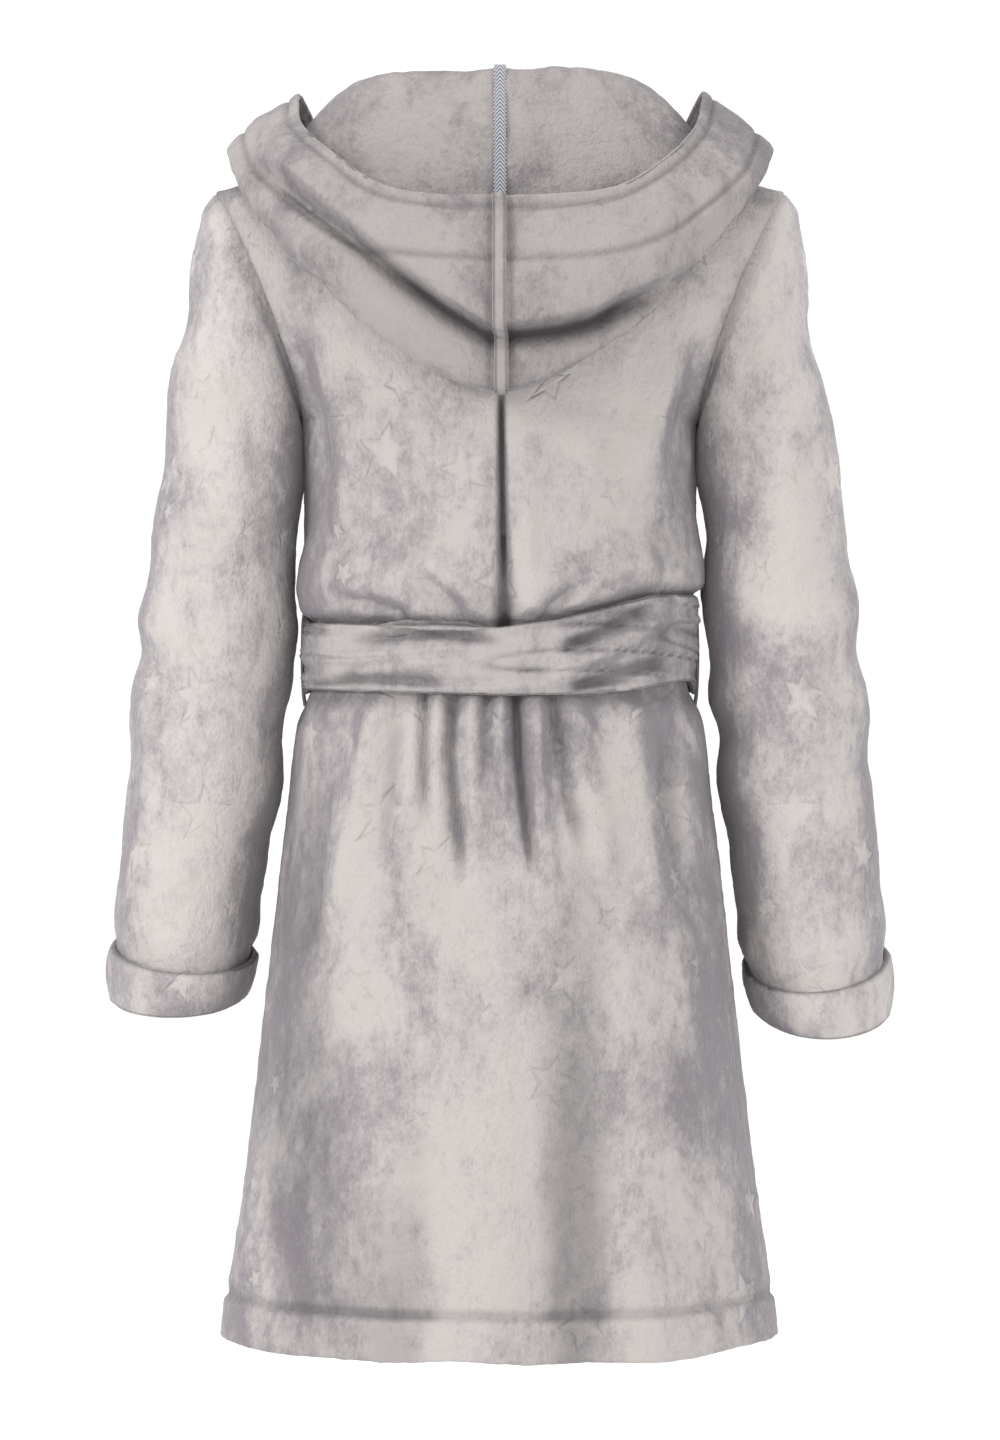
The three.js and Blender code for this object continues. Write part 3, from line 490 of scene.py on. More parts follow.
class Graph:
    """Short calls for a material's nodes."""

    def __init__(self, name):
        self.material = bpy.data.materials.new(name)
        self.material.use_nodes = True
        self.tree = self.material.node_tree
        self.shader = self.tree.nodes["Principled BSDF"]

    def node(self, kind, props=None, **inputs):
        n = self.tree.nodes.new(kind)
        for key, value in (props or {}).items():
            setattr(n, key, value)
        for key, value in inputs.items():
            self.put(n.inputs[key.replace("_", " ")], value)
        return n

    def put(self, socket, value):
        if isinstance(value, bpy.types.NodeSocket):
            self.tree.links.new(value, socket)
        else:
            socket.default_value = value

    def math(self, op, *values, clamp=False):
        n = self.tree.nodes.new("ShaderNodeMath")
        n.operation = op
        n.use_clamp = clamp
        for socket, value in zip(n.inputs, values):
            self.put(socket, value)
        return n.outputs[0]

    def vector(self, op, *values):
        n = self.tree.nodes.new("ShaderNodeVectorMath")
        n.operation = op
        for socket, value in zip([s for s in n.inputs if s.name == "Vector"], values):
            self.put(socket, value)
        return n

    def scaled(self, vector, scale):
        n = self.tree.nodes.new("ShaderNodeVectorMath")
        n.operation = "SCALE"
        self.put(n.inputs[0], vector)
        n.inputs["Scale"].default_value = scale
        return n.outputs[0]

    def noise(self, vector, scale, detail=2.0, rough=0.5, swirl=0.0):
        n = self.node("ShaderNodeTexNoise", Vector=vector, Scale=scale, Detail=detail,
                      Roughness=rough, Distortion=swirl)
        return n.outputs["Fac"]

    def ramp(self, value, low, high, to_low=0.0, to_high=1.0):
        n = self.node("ShaderNodeMapRange", {"interpolation_type": "SMOOTHSTEP"})
        for key, v in (("Value", value), ("From Min", low), ("From Max", high),
                       ("To Min", to_low), ("To Max", to_high)):
            self.put(n.inputs[key], v)
        return n.outputs["Result"]

    def blend(self, fac, a, b, kind="MIX"):
        n = self.tree.nodes.new("ShaderNodeMix")
        n.data_type = "RGBA"
        n.blend_type = kind
        self.put(n.inputs["Factor"], fac)
        for socket, value in zip([s for s in n.inputs if s.type == "RGBA"], (a, b)):
            self.put(socket, (*value, 1.0) if isinstance(value, tuple) and len(value) == 3 else value)
        return [s for s in n.outputs if s.type == "RGBA"][0]

    def attribute(self, name, output):
        n = self.node("ShaderNodeAttribute", {"attribute_name": name})
        return n.outputs[output]


def star_mask(g, flat, cell, outer, inner, share):
    """Scattered five-pointed stars with random turns: 1 inside a star, 0 outside."""
    p = g.scaled(flat, 1 / cell)
    cells = g.node("ShaderNodeTexVoronoi", {"voronoi_dimensions": "2D", "feature": "F1"},
                   Vector=p, Scale=1.0, Randomness=0.62)
    d = g.vector("SUBTRACT", p, cells.outputs["Position"]).outputs[0]
    split = g.node("ShaderNodeSeparateXYZ", Vector=d)
    random = g.node("ShaderNodeSeparateColor", Color=cells.outputs["Color"])
    x, y = split.outputs[0], split.outputs[1]
    r = g.math("SQRT", g.math("ADD", g.math("MULTIPLY", x, x), g.math("MULTIPLY", y, y)))
    turn = g.math("MULTIPLY_ADD", random.outputs[0], TAU, g.math("ARCTAN2", y, x))
    fifth = TAU / 5
    a = g.math("ABSOLUTE", g.math("SUBTRACT", g.math("FLOORED_MODULO", turn, fifth), fifth / 2))
    top = outer / cell * (inner / cell) * math.sin(fifth / 2)
    off = g.math("SINE", g.math("SUBTRACT", fifth / 2, a))
    low = g.math("ADD", g.math("MULTIPLY", off, outer / cell),
                 g.math("MULTIPLY", g.math("SINE", a), inner / cell))
    grown = g.ramp(random.outputs[1], 0.2, 0.9, 0.72, 1.0)
    edge = g.math("SUBTRACT", g.math("MULTIPLY", g.math("DIVIDE", top, low), grown), r)
    there = g.math("LESS_THAN", random.outputs[2], share)
    inside = g.ramp(edge, -0.02, 0.025)
    line = g.math("MULTIPLY", g.ramp(edge, -0.045, 0.0), g.ramp(edge, 0.055, 0.01))
    return g.math("MULTIPLY", inside, there), g.math("MULTIPLY", line, there)


def fleece(name, dark, light, stars=1.0, side_shade=0.55):
    """Cut pile: patches of pile lying either way, clumps, fibres and faint pressed stars, with painted
    shade where the surface turns sideways and in creases.
    """
    g = Graph(name)
    flat = g.attribute("flat", "Vector")
    rest = g.attribute("rest", "Vector")
    shade_and_nap = g.attribute("shade_and_nap", "Fac")
    turned = g.attribute("turned", "Fac")
    tall = g.vector("MULTIPLY", rest, (1.0, 1.0, 0.55)).outputs[0]
    broad = g.noise(tall, 8.5, 4.0, 0.58, 0.5)
    patch = g.noise(tall, 30.0, 3.0, 0.6, 0.6)
    blotch = g.noise(rest, 95.0, 3.0, 0.6, 0.3)
    lying = g.vector("MULTIPLY", rest, (1.0, 1.0, 0.6)).outputs[0]
    clump = g.noise(lying, 230.0, 3.0, 0.7)
    fibre = g.noise(lying, 560.0, 2.0, 0.6)
    nap_and_shade = g.math("MULTIPLY_ADD", g.math("SUBTRACT", broad, 0.5), 2.3, 0.60)
    nap_and_shade = g.math("MULTIPLY_ADD", g.math("SUBTRACT", patch, 0.5), 1.25, nap_and_shade)
    nap_and_shade = g.math("MULTIPLY_ADD", g.math("SUBTRACT", blotch, 0.5), 0.55, nap_and_shade)
    # Painted shade: the colour value is lowered where the surface turns sideways, as on fold flanks and
    # the body's sides.
    side = g.ramp(turned, 0.06, 0.75)
    nap_and_shade = g.math("MULTIPLY_ADD", side, -side_shade, nap_and_shade)
    nap_and_shade = g.math("ADD", nap_and_shade, 0.12)
    height = g.math("ADD", g.math("MULTIPLY", clump, 0.8), g.math("MULTIPLY", fibre, 0.35))
    height = g.math("ADD", height, g.math("MULTIPLY", blotch, 0.8))
    if stars:
        big, big_line = star_mask(g, flat, 0.088, 0.0225, 0.0102, 0.62)
        shifted = g.vector("ADD", flat, (0.031, 0.047, 0.0)).outputs[0]
        small, small_line = star_mask(g, shifted, 0.072, 0.0115, 0.0052, 0.4)
        star = g.math("MAXIMUM", big, small)
        line = g.math("MAXIMUM", big_line, small_line)
        fade = g.ramp(patch, 0.36, 0.62, 0.3, 1.0)
        star = g.math("MULTIPLY", star, fade)
        line = g.math("MULTIPLY", line, fade)
        nap_and_shade = g.math("MULTIPLY_ADD", star, 0.42 * stars, nap_and_shade)
        nap_and_shade = g.math("MULTIPLY_ADD", line, -0.12 * stars, nap_and_shade)
        height = g.math("MULTIPLY_ADD", line, -0.35 * stars, height)
        height = g.math("MULTIPLY_ADD", star, -0.5 * stars, height)
    grain = g.math("ADD", g.math("MULTIPLY", clump, 0.7), g.math("MULTIPLY", fibre, 0.5))
    nap_and_shade = g.math("MULTIPLY_ADD", g.math("SUBTRACT", grain, 0.6), 0.95, nap_and_shade)
    colour = g.blend(g.ramp(nap_and_shade, 0.0, 1.0), dark, light)
    # Painted shade: the per-vertex shade value pulls the colour towards a deep grey in grooves, seams,
    # folds and along the belt; on the back it also carries two darker nap patches.
    colour = g.blend(g.math("MULTIPLY", shade_and_nap, 0.85, clamp=True), colour,
                     tuple(c * 0.38 for c in dark))
    bump = g.node("ShaderNodeBump", Height=height)
    bump.inputs["Strength"].default_value = 0.8
    bump.inputs["Distance"].default_value = 0.0024
    s = g.shader
    g.put(s.inputs["Base Color"], colour)
    g.put(s.inputs["Normal"], bump.outputs[0])
    s.inputs["Roughness"].default_value = 0.95
    s.inputs["Specular IOR Level"].default_value = 0.1
    s.inputs["Sheen Weight"].default_value = 0.22
    s.inputs["Sheen Roughness"].default_value = 0.4
    s.inputs["Sheen Tint"].default_value = (0.95, 0.93, 0.95, 1.0)
    return g.material


def herringbone(name, dark, light):
    g = Graph(name)
    flat = g.attribute("flat", "Vector")
    split = g.node("ShaderNodeSeparateXYZ", Vector=flat)
    x, y = split.outputs[0], split.outputs[1]
    zig = g.math("PINGPONG", x, 0.0046)
    slant = g.math("ADD", y, g.math("MULTIPLY", zig, 1.2))
    twill = g.math("SINE", g.math("MULTIPLY", slant, TAU / 0.0030))
    yarn = g.math("SINE", g.math("MULTIPLY", x, TAU / 0.0007))
    weave = g.math("ADD", g.math("MULTIPLY", twill, 0.45), g.math("MULTIPLY", yarn, 0.12))
    fuzz = g.noise(flat, 900.0, 2.0)
    fuzz = g.math("MULTIPLY", g.math("SUBTRACT", fuzz, 0.5), 0.5)
    tone = g.math("ADD", g.math("ADD", weave, 0.5), fuzz)
    g.put(g.shader.inputs["Base Color"], g.blend(g.ramp(tone, 0.1, 0.9), dark, light))
    bump = g.node("ShaderNodeBump", Height=weave)
    bump.inputs["Distance"].default_value = 0.0004
    bump.inputs["Strength"].default_value = 0.7
    g.put(g.shader.inputs["Normal"], bump.outputs[0])
    g.shader.inputs["Roughness"].default_value = 0.8
    g.shader.inputs["Sheen Weight"].default_value = 0.2
    return g.material


def satin(name, colour):
    g = Graph(name)
    flat = g.attribute("flat", "Vector")
    split = g.node("ShaderNodeSeparateXYZ", Vector=flat)
    warp = g.math("SINE", g.math("MULTIPLY", split.outputs[0], TAU / 0.0006))
    weft = g.math("SINE", g.math("MULTIPLY", split.outputs[1], TAU / 0.0009))
    cloth = g.math("MULTIPLY", warp, weft)
    mottled = g.noise(flat, 120.0, 3.0)
    colour_out = g.blend(g.ramp(mottled, 0.3, 0.7), tuple(c * 0.9 for c in colour), colour)
    g.put(g.shader.inputs["Base Color"], colour_out)
    bump = g.node("ShaderNodeBump", Height=cloth)
    bump.inputs["Distance"].default_value = 0.0002
    bump.inputs["Strength"].default_value = 0.5
    g.put(g.shader.inputs["Normal"], bump.outputs[0])
    g.shader.inputs["Roughness"].default_value = 0.55
    g.shader.inputs["Sheen Weight"].default_value = 0.1
    return g.material


# Linear colours: lavender grey in the nap's shade, warm grey where it catches the light.
MAIN = fleece("plush_fleece", (0.219, 0.200, 0.216), (0.442, 0.412, 0.398))
SLEEVE = fleece("plush_sleeve", (0.24, 0.22, 0.236), (0.485, 0.453, 0.437), stars=0.8)
HOOD = fleece("plush_hood", (0.168, 0.152, 0.163), (0.328, 0.302, 0.293), stars=0.35, side_shade=0.3)
BELT = fleece("plush_belt", (0.195, 0.179, 0.193), (0.395, 0.366, 0.360), stars=0.25, side_shade=0.4)
INNER = fleece("plush_inside", (0.175, 0.158, 0.163), (0.365, 0.33, 0.322), stars=0.0)
TAPE = herringbone("herringbone_tape", (0.085, 0.085, 0.11), (0.42, 0.42, 0.45))
LABEL = satin("label_satin", (0.80, 0.78, 0.74))

# ---------------------------------------------------------------- back panel and hem

BELT_TOP = ([-160, -135, -104, -75, -40, 0, 100, 160], [558, 560, 558, 549, 540, 534, 537, 540])
BELT_BOTTOM = ([-160, -130, -100, -60, 0, 160], [495, 493, 487, 483, 482, 488])
LEVELS = body_levels()
V_STEPS = len(LEVELS)


def groove(distance, width=2.2):
    return np.exp(-((distance / width) ** 2))


def skirt_waves(x, z, seed):
    """Broad soft folds that grow towards the hem, and small ones where the belt gathers."""
    down = smooth(BELT_LOW - z, 10, 430)
    wave = 6.0 * np.sin(x / 31 + 0.9 * np.sin(x / 57 + seed) + seed) * down
    wave += 2.2 * np.sin(x / 17 + seed * 2.3 + z / 260) * down
    near = smooth(BELT_LOW - z, 2, 16) * (1 - smooth(BELT_LOW - z, 30, 150))
    wave += 2.1 * np.sin(x / 6.3 + 1.7 * np.sin(x / 21 + seed * 3) + z / 90) * near
    return wave


BACK_FOLDS = [
    # points, height, width, fade
    ([(14, 690), (15, 620), (19, 540)], 5.0, 9, 0.25),
    ([(-18, 690), (-18, 620), (-23, 540)], 5.0, 9, 0.25),
    ([(122, 568), (90, 564), (62, 556), (48, 534)], 6.0, 7, 0.25),
    ([(118, 557), (88, 553), (70, 546), (62, 528)], -5.0, 3.6, 0.25),
    ([(62, 588), (36, 573), (20, 557), (14, 534)], 6.0, 8, 0.25),
    ([(74, 575), (46, 564), (31, 551), (24, 528)], -5.0, 4, 0.25),
    ([(-62, 584), (-38, 570), (-22, 555), (-15, 536)], 6.0, 8, 0.25),
    ([(-68, 570), (-48, 560), (-35, 549), (-28, 530)], -5.0, 4, 0.25),
    ([(-122, 584), (-84, 578), (-58, 565), (-44, 545)], 6.0, 8, 0.25),
    ([(140, 600), (104, 596), (70, 610)], -4.0, 8, 0.3),
    ([(-140, 612), (-104, 602), (-66, 616)], -4.0, 8, 0.3),
    ([(148, 742), (118, 700), (100, 630)], 6.5, 13, 0.3),
    ([(-148, 742), (-118, 700), (-102, 630)], 6.5, 13, 0.3),
    ([(158, 765), (138, 706), (130, 630)], -6.5, 9, 0.3),
    ([(-158, 765), (-138, 706), (-130, 630)], -6.5, 9, 0.3),
    ([(60, 700), (66, 660), (80, 620)], 3.5, 14, 0.3),
    ([(-60, 700), (-64, 660), (-76, 626)], 3.5, 14, 0.3),
    ([(56, 520), (58, 440), (56, 380)], -7.0, 3.4, 0.3),
    ([(44, 520), (46, 420), (44, 350)], 5.5, 6, 0.3),
    ([(33, 520), (38, 440), (26, 330)], -8.0, 4.2, 0.3),
    ([(21, 520), (20, 420), (12, 350)], 6.0, 6.5, 0.3),
    ([(9, 520), (10, 455), (8, 415)], -5.0, 3.2, 0.3),
    ([(0, 520), (-2, 440), (-4, 380)], 5.0, 5, 0.3),
    ([(-9, 520), (-14, 440), (-26, 340)], -9.0, 3.6, 0.25),
    ([(-24, 520), (-28, 430), (-42, 300)], 7.0, 7.5, 0.3),
    ([(-34, 520), (-44, 450), (-62, 360)], -6.5, 5.5, 0.3),
    ([(-56, 500), (-70, 410), (-84, 320)], 5.0, 9, 0.3),
    ([(72, 500), (80, 410), (92, 330)], -5.0, 8, 0.3),
    ([(96, 490), (110, 400), (128, 290)], 6.0, 11, 0.3),
    ([(-92, 490), (-106, 400), (-124, 300)], 5.5, 11, 0.3),
    ([(-116, 480), (-132, 380), (-150, 270)], -5.0, 11, 0.3),
    ([(120, 480), (136, 380), (154, 270)], -5.0, 11, 0.3),
]


def back_grid():
    u = np.linspace(-1, 1, 181)
    u = np.sign(u) * np.abs(u) ** 1.2
    level = LEVELS[:, None]
    angle = u[None, :] * side_angle(1, level)
    level = level * np.ones_like(angle)
    p = body(1, angle, level)
    n = body_normal(1, angle, level)
    x, z = p[..., 0], p[..., 2]
    pleat_width = mix(2.4, 6.0, smooth(700 - z, 70, 160))
    pleat = groove(x + 1 + 2 * smooth(700 - z, 0, 160), pleat_width) * smooth(z, 528, 536)
    pleat = pleat * (1 - smooth(z, 690, 720))
    d = folds(x, z, BACK_FOLDS) - 11 * pleat
    d += skirt_waves(x, z, 0.6)
    top = np.interp(x, *BELT_TOP)
    blouse = smooth(z, top - 1, top + 9) * (1 - smooth(z, top + 18, top + 90))
    d += 9.0 * blouse + 3.4 * noise(p, (38, 200, 70), 4) * smooth(z, 560, 610)
    d += 4.5 * noise(p, (90, 400, 200), 9) * (1 - smooth(z, 380, 470))
    under_belt = (z > BELT_LOW) & (z < top + 9)
    d = np.where(under_belt, np.minimum(d, 0.6 + 9 * smooth(z, top - 1, top + 9)), d)
    side = smooth(np.abs(u)[None, :], 0.9, 1.0)
    d *= 1 - side
    hem = groove(z - HEM, 2.6)
    d += -2.2 * hem + 1.3 * (1 - smooth(z, HEM - 6, HEM - 2))
    d += 1.1 * pile(p, 1)
    edge = smooth(LEVELS, 1.9, 2.0)[:, None]
    d *= 1 - edge
    # Painted shade in the hem groove, the centre pleat, along the belt's edges, in deep folds and by the
    # armholes; the two patches from brushed noise below are darker nap, the pile's own tone.
    shade_and_nap = 0.55 * hem + 0.95 * pleat
    shade_and_nap = shade_and_nap + 0.5 * groove(z - top - 1, 7) * (z > top - 3) + 0.45 * groove(z - 482, 7) * (z < 490)
    shade_and_nap = shade_and_nap + np.clip(-d - 2.0, 0, 6) * 0.10 * (z < 600)
    shade_and_nap = shade_and_nap + 0.25 * smooth(np.abs(u)[None, :], 0.965, 1.0) * smooth(z, 640, 700)
    brushed = smooth(noise(p, (60, 60, 80), 13), -0.5, 0.3)
    shade_and_nap = shade_and_nap + 0.17 * brushed * np.exp(-(((x - 35) / 95) ** 2) - ((z - 405) / 62) ** 2)
    shade_and_nap = shade_and_nap + 0.10 * brushed * np.exp(-(((x + 128) / 26) ** 2) - ((z - 225) / 110) ** 2)
    p = p + n * d[..., None]
    p[:, [0, -1], 1] -= 0.8
    low = 1 - smooth(z, 0, 60)
    p[..., 2] += low * (1 - side) * (1.6 * np.sin(x / 37 + 1) + 0.9 * np.sin(x / 16))
    return p, shade_and_nap


def inside_of(p, sign, closed=False, gap=0.5):
    """The grid just inside a sheet whose outer face is p."""
    return p - normals(p, closed, sign) * (PLUSH + gap)


back, back_shade_and_nap = back_grid()
o = build("back_panel_cloth", back, PLUSH, MAIN, sign=-1, shade_and_nap=back_shade_and_nap)
place(o, "robe", ["back_panel"])
hem_rows = int(np.searchsorted(LEVELS, level_of(HEM)))
o = build("hem_back_cloth", inside_of(back, -1)[: hem_rows + 1], FACING, INNER, sign=-1)
place(o, "robe", ["hem_back"])

# ---------------------------------------------------------------- front panels, bands, hems


def front_grid(over):
    u = np.linspace(0, 1, 105)
    level = LEVELS[:, None]
    from_angle = angle_of(-1, edge_x(level), level)
    angle = mix(from_angle, side_angle(-1, level), u[None, :])
    level = level * np.ones_like(angle)
    lift = wrap_lift(angle, level) if over else 0.0
    p = body(-1, angle, level, lift)
    n = body_normal(-1, angle, level, lift)
    x, z = p[..., 0], p[..., 2]
    seed = 2.4 if over else 5.1
    calm = smooth(u, 0.0, 0.3)[None, :] if over else smooth(x, 40, 110)
    d = skirt_waves(x, z, seed) * 0.8 * calm
    d += folds(x, z, [
        ([(110, 700), (92, 640), (60, 570)], 4.0, 12, 0.3),
        ([(140, 690), (128, 620), (100, 560)], -3.2, 9, 0.3),
        ([(60, 560), (84, 584), (112, 604)], 3.6, 8, 0.3),
    ]) * calm
    blouse = smooth(z, 546, 558) * (1 - smooth(z, 564, 620))
    d += 4.0 * blouse * calm
    pocket_zone = smooth(z, 240, 270) * (1 - smooth(z, 420, 450)) * smooth(x, 40, 60)
    d *= 1 - 0.9 * pocket_zone
    d *= 1 - smooth(u, 0.86, 1.0)[None, :]
    hem = groove(z - HEM, 2.6)
    arc = np.cumsum(np.concatenate([np.zeros((V_STEPS, 1)), size(np.diff(p, axis=1))], 1), 1)
    stitch = groove(arc - BAND, 2.4)
    d += -1.8 * hem - 1.6 * stitch + 0.8 * pile(p, seed)
    d *= 1 - smooth(LEVELS, 1.9, 2.0)[:, None]
    p = p + n * d[..., None]
    p[:, -1, 1] += 0.8
    # Painted shade in the hem groove and along the band's stitching.
    return p, 0.5 * hem + 0.45 * stitch, arc


fronts = {}
for side, over in (("left", False), ("right", True)):
    grid, shade_and_nap, arc = front_grid(over)
    fronts[side] = grid
    o = build("front_panel_%s_cloth" % side, grid, PLUSH, MAIN, shade_and_nap=shade_and_nap, mirror=over)
    place(o, "robe", ["front_panel_" + side])
    columns = int(np.searchsorted(arc[0], BAND)) + 1
    last = int(np.searchsorted(LEVELS, 1.85))
    o = build("front_band_%s_cloth" % side, inside_of(grid, 1)[:last, :columns], FACING, INNER,
              mirror=over)
    place(o, "robe", ["front_band_" + side])
    o = build("hem_front_%s_cloth" % side, inside_of(grid, 1)[: hem_rows + 1, columns + 1:], FACING,
              INNER, mirror=over)
    place(o, "robe", ["hem_front_" + side])

# ---------------------------------------------------------------- sleeves and cuffs


def hanging(turn, along, drop, tilt):
    """The sleeve's surface, its end lower by drop, and lower still behind by tilt."""
    p = sleeve_surface(turn[None, :], along[:, None])
    p[..., 2] -= along[:, None] ** 2 * (drop + tilt * np.sin(turn))
    return p


def sleeve_grid(seed, drop, tilt):
    along = np.concatenate([np.linspace(0, 0.1, 22)[:-1], np.linspace(0.1, 1, 140)])
    turn = math.pi + np.arange(112) / 112 * TAU
    p = hanging(turn, along, drop, tilt)
    n = normals(p, True, -1)
    a = along[:, None] * np.ones((1, len(turn)))
    top = PLUSH * (1 + np.cos(turn))[None, :] / 2
    p = p + n * (top * smooth(a, -0.004, 0.03) - 1.2 * groove(a, 0.006))[..., None]
    p[0, :, 0] -= 4.0
    x, z = p[..., 0], p[..., 2]
    s = smooth(a, 0.0, 0.06)
    d = 3.2 * noise(p, (60, 60, 150), seed) * s
    slant = z + 0.9 * (x - 200)
    upper = smooth(a, 0.03, 0.15) * (1 - smooth(a, 0.3, 0.5))
    d += 3.0 * np.sin(slant / 19 + 1.6 * noise(p, 80, seed + 2)) * upper
    slant = z - 0.5 * (x - 220)
    elbow = smooth(a, 0.36, 0.5) * (1 - smooth(a, 0.66, 0.8))
    d += 2.8 * np.sin(slant / 16 + 2.0 * noise(p, 70, seed + 5)) * elbow
    d += 3.0 * smooth(a, 0.84, 0.9) * (1 - smooth(a, 0.9, 0.94))
    d += 1.0 * pile(p, seed) * s
    puff = smooth(a, 0.0, 0.03) * (1 - smooth(a, 0.05, 0.16))
    d += 3.0 * puff
    # Painted shade along the armhole seam.
    return p + n * d[..., None], 0.3 * (1 - smooth(a, 0.0, 0.012))


def cuff_grid(seed, drop, tilt):
    """A turned-up end: a puffed ring whose upper edge is sewn down."""
    turn = math.pi + np.arange(112) / 112 * TAU
    past = 1 + 3 / 608
    low = past - 40 / 608
    k = np.linspace(0, 1, 20)
    along = mix(low, past, k)
    p = hanging(turn, along, drop, tilt)
    n = normals(p, True, -1)
    lift = (PLUSH * (1 + np.cos(turn)) / 2)[None, :] + 5.4
    puff = 3.2 * np.sin(np.pi * np.clip(k, 0, 1)) ** 0.7
    d = lift + puff[:, None] + 0.9 * pile(p, seed) + 1.3 * noise(p, (30, 30, 30), seed)
    d -= 2.2 * (1 - smooth(k, 0, 0.12))[:, None]
    # Painted shade under the cuff's sewn-down upper edge.
    shade_and_nap = 0.6 * (1 - smooth(k, 0, 0.1))[:, None] * np.ones((1, len(turn)))
    return p + n * d[..., None], shade_and_nap


for side, over, seed, drop, tilt in (("left", False, 11, 0, 7), ("right", True, 17, 9, 14)):
    s = -1 if over else 1
    grid, shade_and_nap = sleeve_grid(seed, drop, tilt)
    body_name = "sleeve_" + side
    o = build("sleeve_%s_cloth" % side, grid, PLUSH, SLEEVE, closed=True, sign=-1, shade_and_nap=shade_and_nap,
              mirror=over)
    start = row(s * 205.0, 0, 780)
    end = tuple(np.array(start) + np.array([s * 0.936, 0, -0.351]) * 0.085)
    place(o, None, ["sleeve_" + side],
          ("robe", body_name, start, end))
    grid, shade_and_nap = cuff_grid(seed + 2, drop, tilt)
    o = build("cuff_%s_cloth" % side, grid, 5.0, SLEEVE, closed=True, sign=-1, shade_and_nap=shade_and_nap,
              mirror=over)
    place(o, body_name, ["cuff_" + side])

# ---------------------------------------------------------------- hood

TIER_LEFT = [(186, 884), (150, 856), (110, 822), (72, 790), (40, 766), (6, 745), (0, 746)]
TIER_RIGHT = [(0, 746), (43, 751), (66, 757), (87, 769), (112, 780), (136, 792)]


def hood_grid(over):
    shares = np.linspace(0, 1, 150)
    rows = np.concatenate([np.linspace(0, 3 / 7, 50)[:-1], np.linspace(3 / 7, 5 / 7, 40)[:-1],
                           np.linspace(5 / 7, 1, 56)])
    p = hood_surface(shares, rows, over)
    n = normals(p, sign=-1)
    seed = 31 if over else 23
    x, z = p[..., 0], p[..., 2]
    v = rows[:, None] * np.ones_like(x)
    up = size(np.diff(p, axis=0))
    to_rim = np.cumsum(np.concatenate([up, np.zeros((1, x.shape[1]))], 0)[::-1], 0)[::-1]
    outer = smooth(v, 4.7 / 7, 5.2 / 7)
    behind = 1 - smooth(shares, 0.55, 0.72)[None, :]
    tier = TIER_RIGHT if over else TIER_LEFT
    tx, tz = np.array(tier, float).T
    order = np.argsort(tx)
    line = np.interp(x, tx[order], tz[order])
    above = (z - line) * 0.8
    length = smooth((150 if over else 192) - x, 0, 45)
    step = smooth(above, -2.0, 5.0)
    overhang = 13.0 * step * (1 - smooth(above, 14, 66)) - 8.5 * groove(above + 5.0, 5.0)
    lower = 5.0 * np.exp(-(((above + 28) / 13) ** 2))
    d = (overhang * length + lower) * outer * behind
    rim = groove(to_rim - 10, 2.2) + 0.9 * groove(to_rim - 50, 2.6)
    d += (-2.0 * rim) * smooth(v, 5.4 / 7, 5.8 / 7)
    channel = smooth(to_rim, 12, 24) * (1 - smooth(to_rim, 36, 52))
    d += 0.96 * np.sin(x / 8.5 + z / 15) * channel * outer
    d += 3.4 * noise(p, (46, 60, 30), seed) * smooth(v, 0.5 / 7, 1.2 / 7)
    stand = smooth(v, 0.2 / 7, 0.8 / 7) * (1 - smooth(v, 1.6 / 7, 2.4 / 7))
    d += 2.4 * noise(p, (24, 24, 160), seed + 1) * stand
    d += 1.1 * pile(p, seed)
    strip = 1.8 * (1 - smooth(x, 4.5, 6.5)) - 1.4 * groove(x - 7.5, 1.8)
    d += strip * outer
    d *= smooth(v, 0.0, 0.02)
    deep = smooth(122 - x, 0, 70) if not over else smooth(118 - x, 0, 40)
    # Painted shade beneath the upper tier's overhang, in the rim grooves and beside the centre strip.
    shade_and_nap = 1.15 * groove(above + 3.0, 4.5) * outer * behind * length * deep
    shade_and_nap = shade_and_nap + 0.35 * smooth(-above, 2, 5) * (1 - smooth(-above, 8, 20)) * outer * behind * deep
    shade_and_nap = shade_and_nap + 0.45 * rim * smooth(v, 5.4 / 7, 5.8 / 7) + 0.3 * groove(x - 7.5, 2) * outer
    p = p + n * d[..., None]
    p[..., 0] -= 0.7 * (1 - smooth(x, 0, 3))
    return p, shade_and_nap, rows


for side, over in (("left", False), ("right", True)):
    grid, shade_and_nap, rows = hood_grid(over)
    blend = ("robe", "hood", row(0, 62, 900), row(0, 112, 900))
    o = build("hood_%s_cloth" % side, grid, PLUSH, HOOD, sign=-1, shade_and_nap=shade_and_nap, mirror=over)
    place(o, None, ["hood_collar_" + side, "hood_drape_" + side],
          blend)
    first = int(np.searchsorted(rows, 0.912))
    o = build("hood_facing_%s_cloth" % side, inside_of(grid, -1)[first:-5, :-2], FACING, INNER,
              sign=-1, mirror=over)
    place(o, None, ["collar_facing_" + side, "hood_facing_" + side],
          blend)
    if not over:
        hood_rows, hood_left = rows, grid


def seam_tape():
    """A ribbon over the centre seam, on the hood's inner side."""
    keep = (hood_rows > 0.012) & (hood_rows < 0.88)
    inner = inside_of(hood_left, -1, gap=1.7)[:, 0][keep]
    x = np.linspace(-4.6, 4.6, 7)
    grid = np.repeat(inner[:, None, :], 7, 1)
    grid[..., 0] = x[None, :]
    return grid


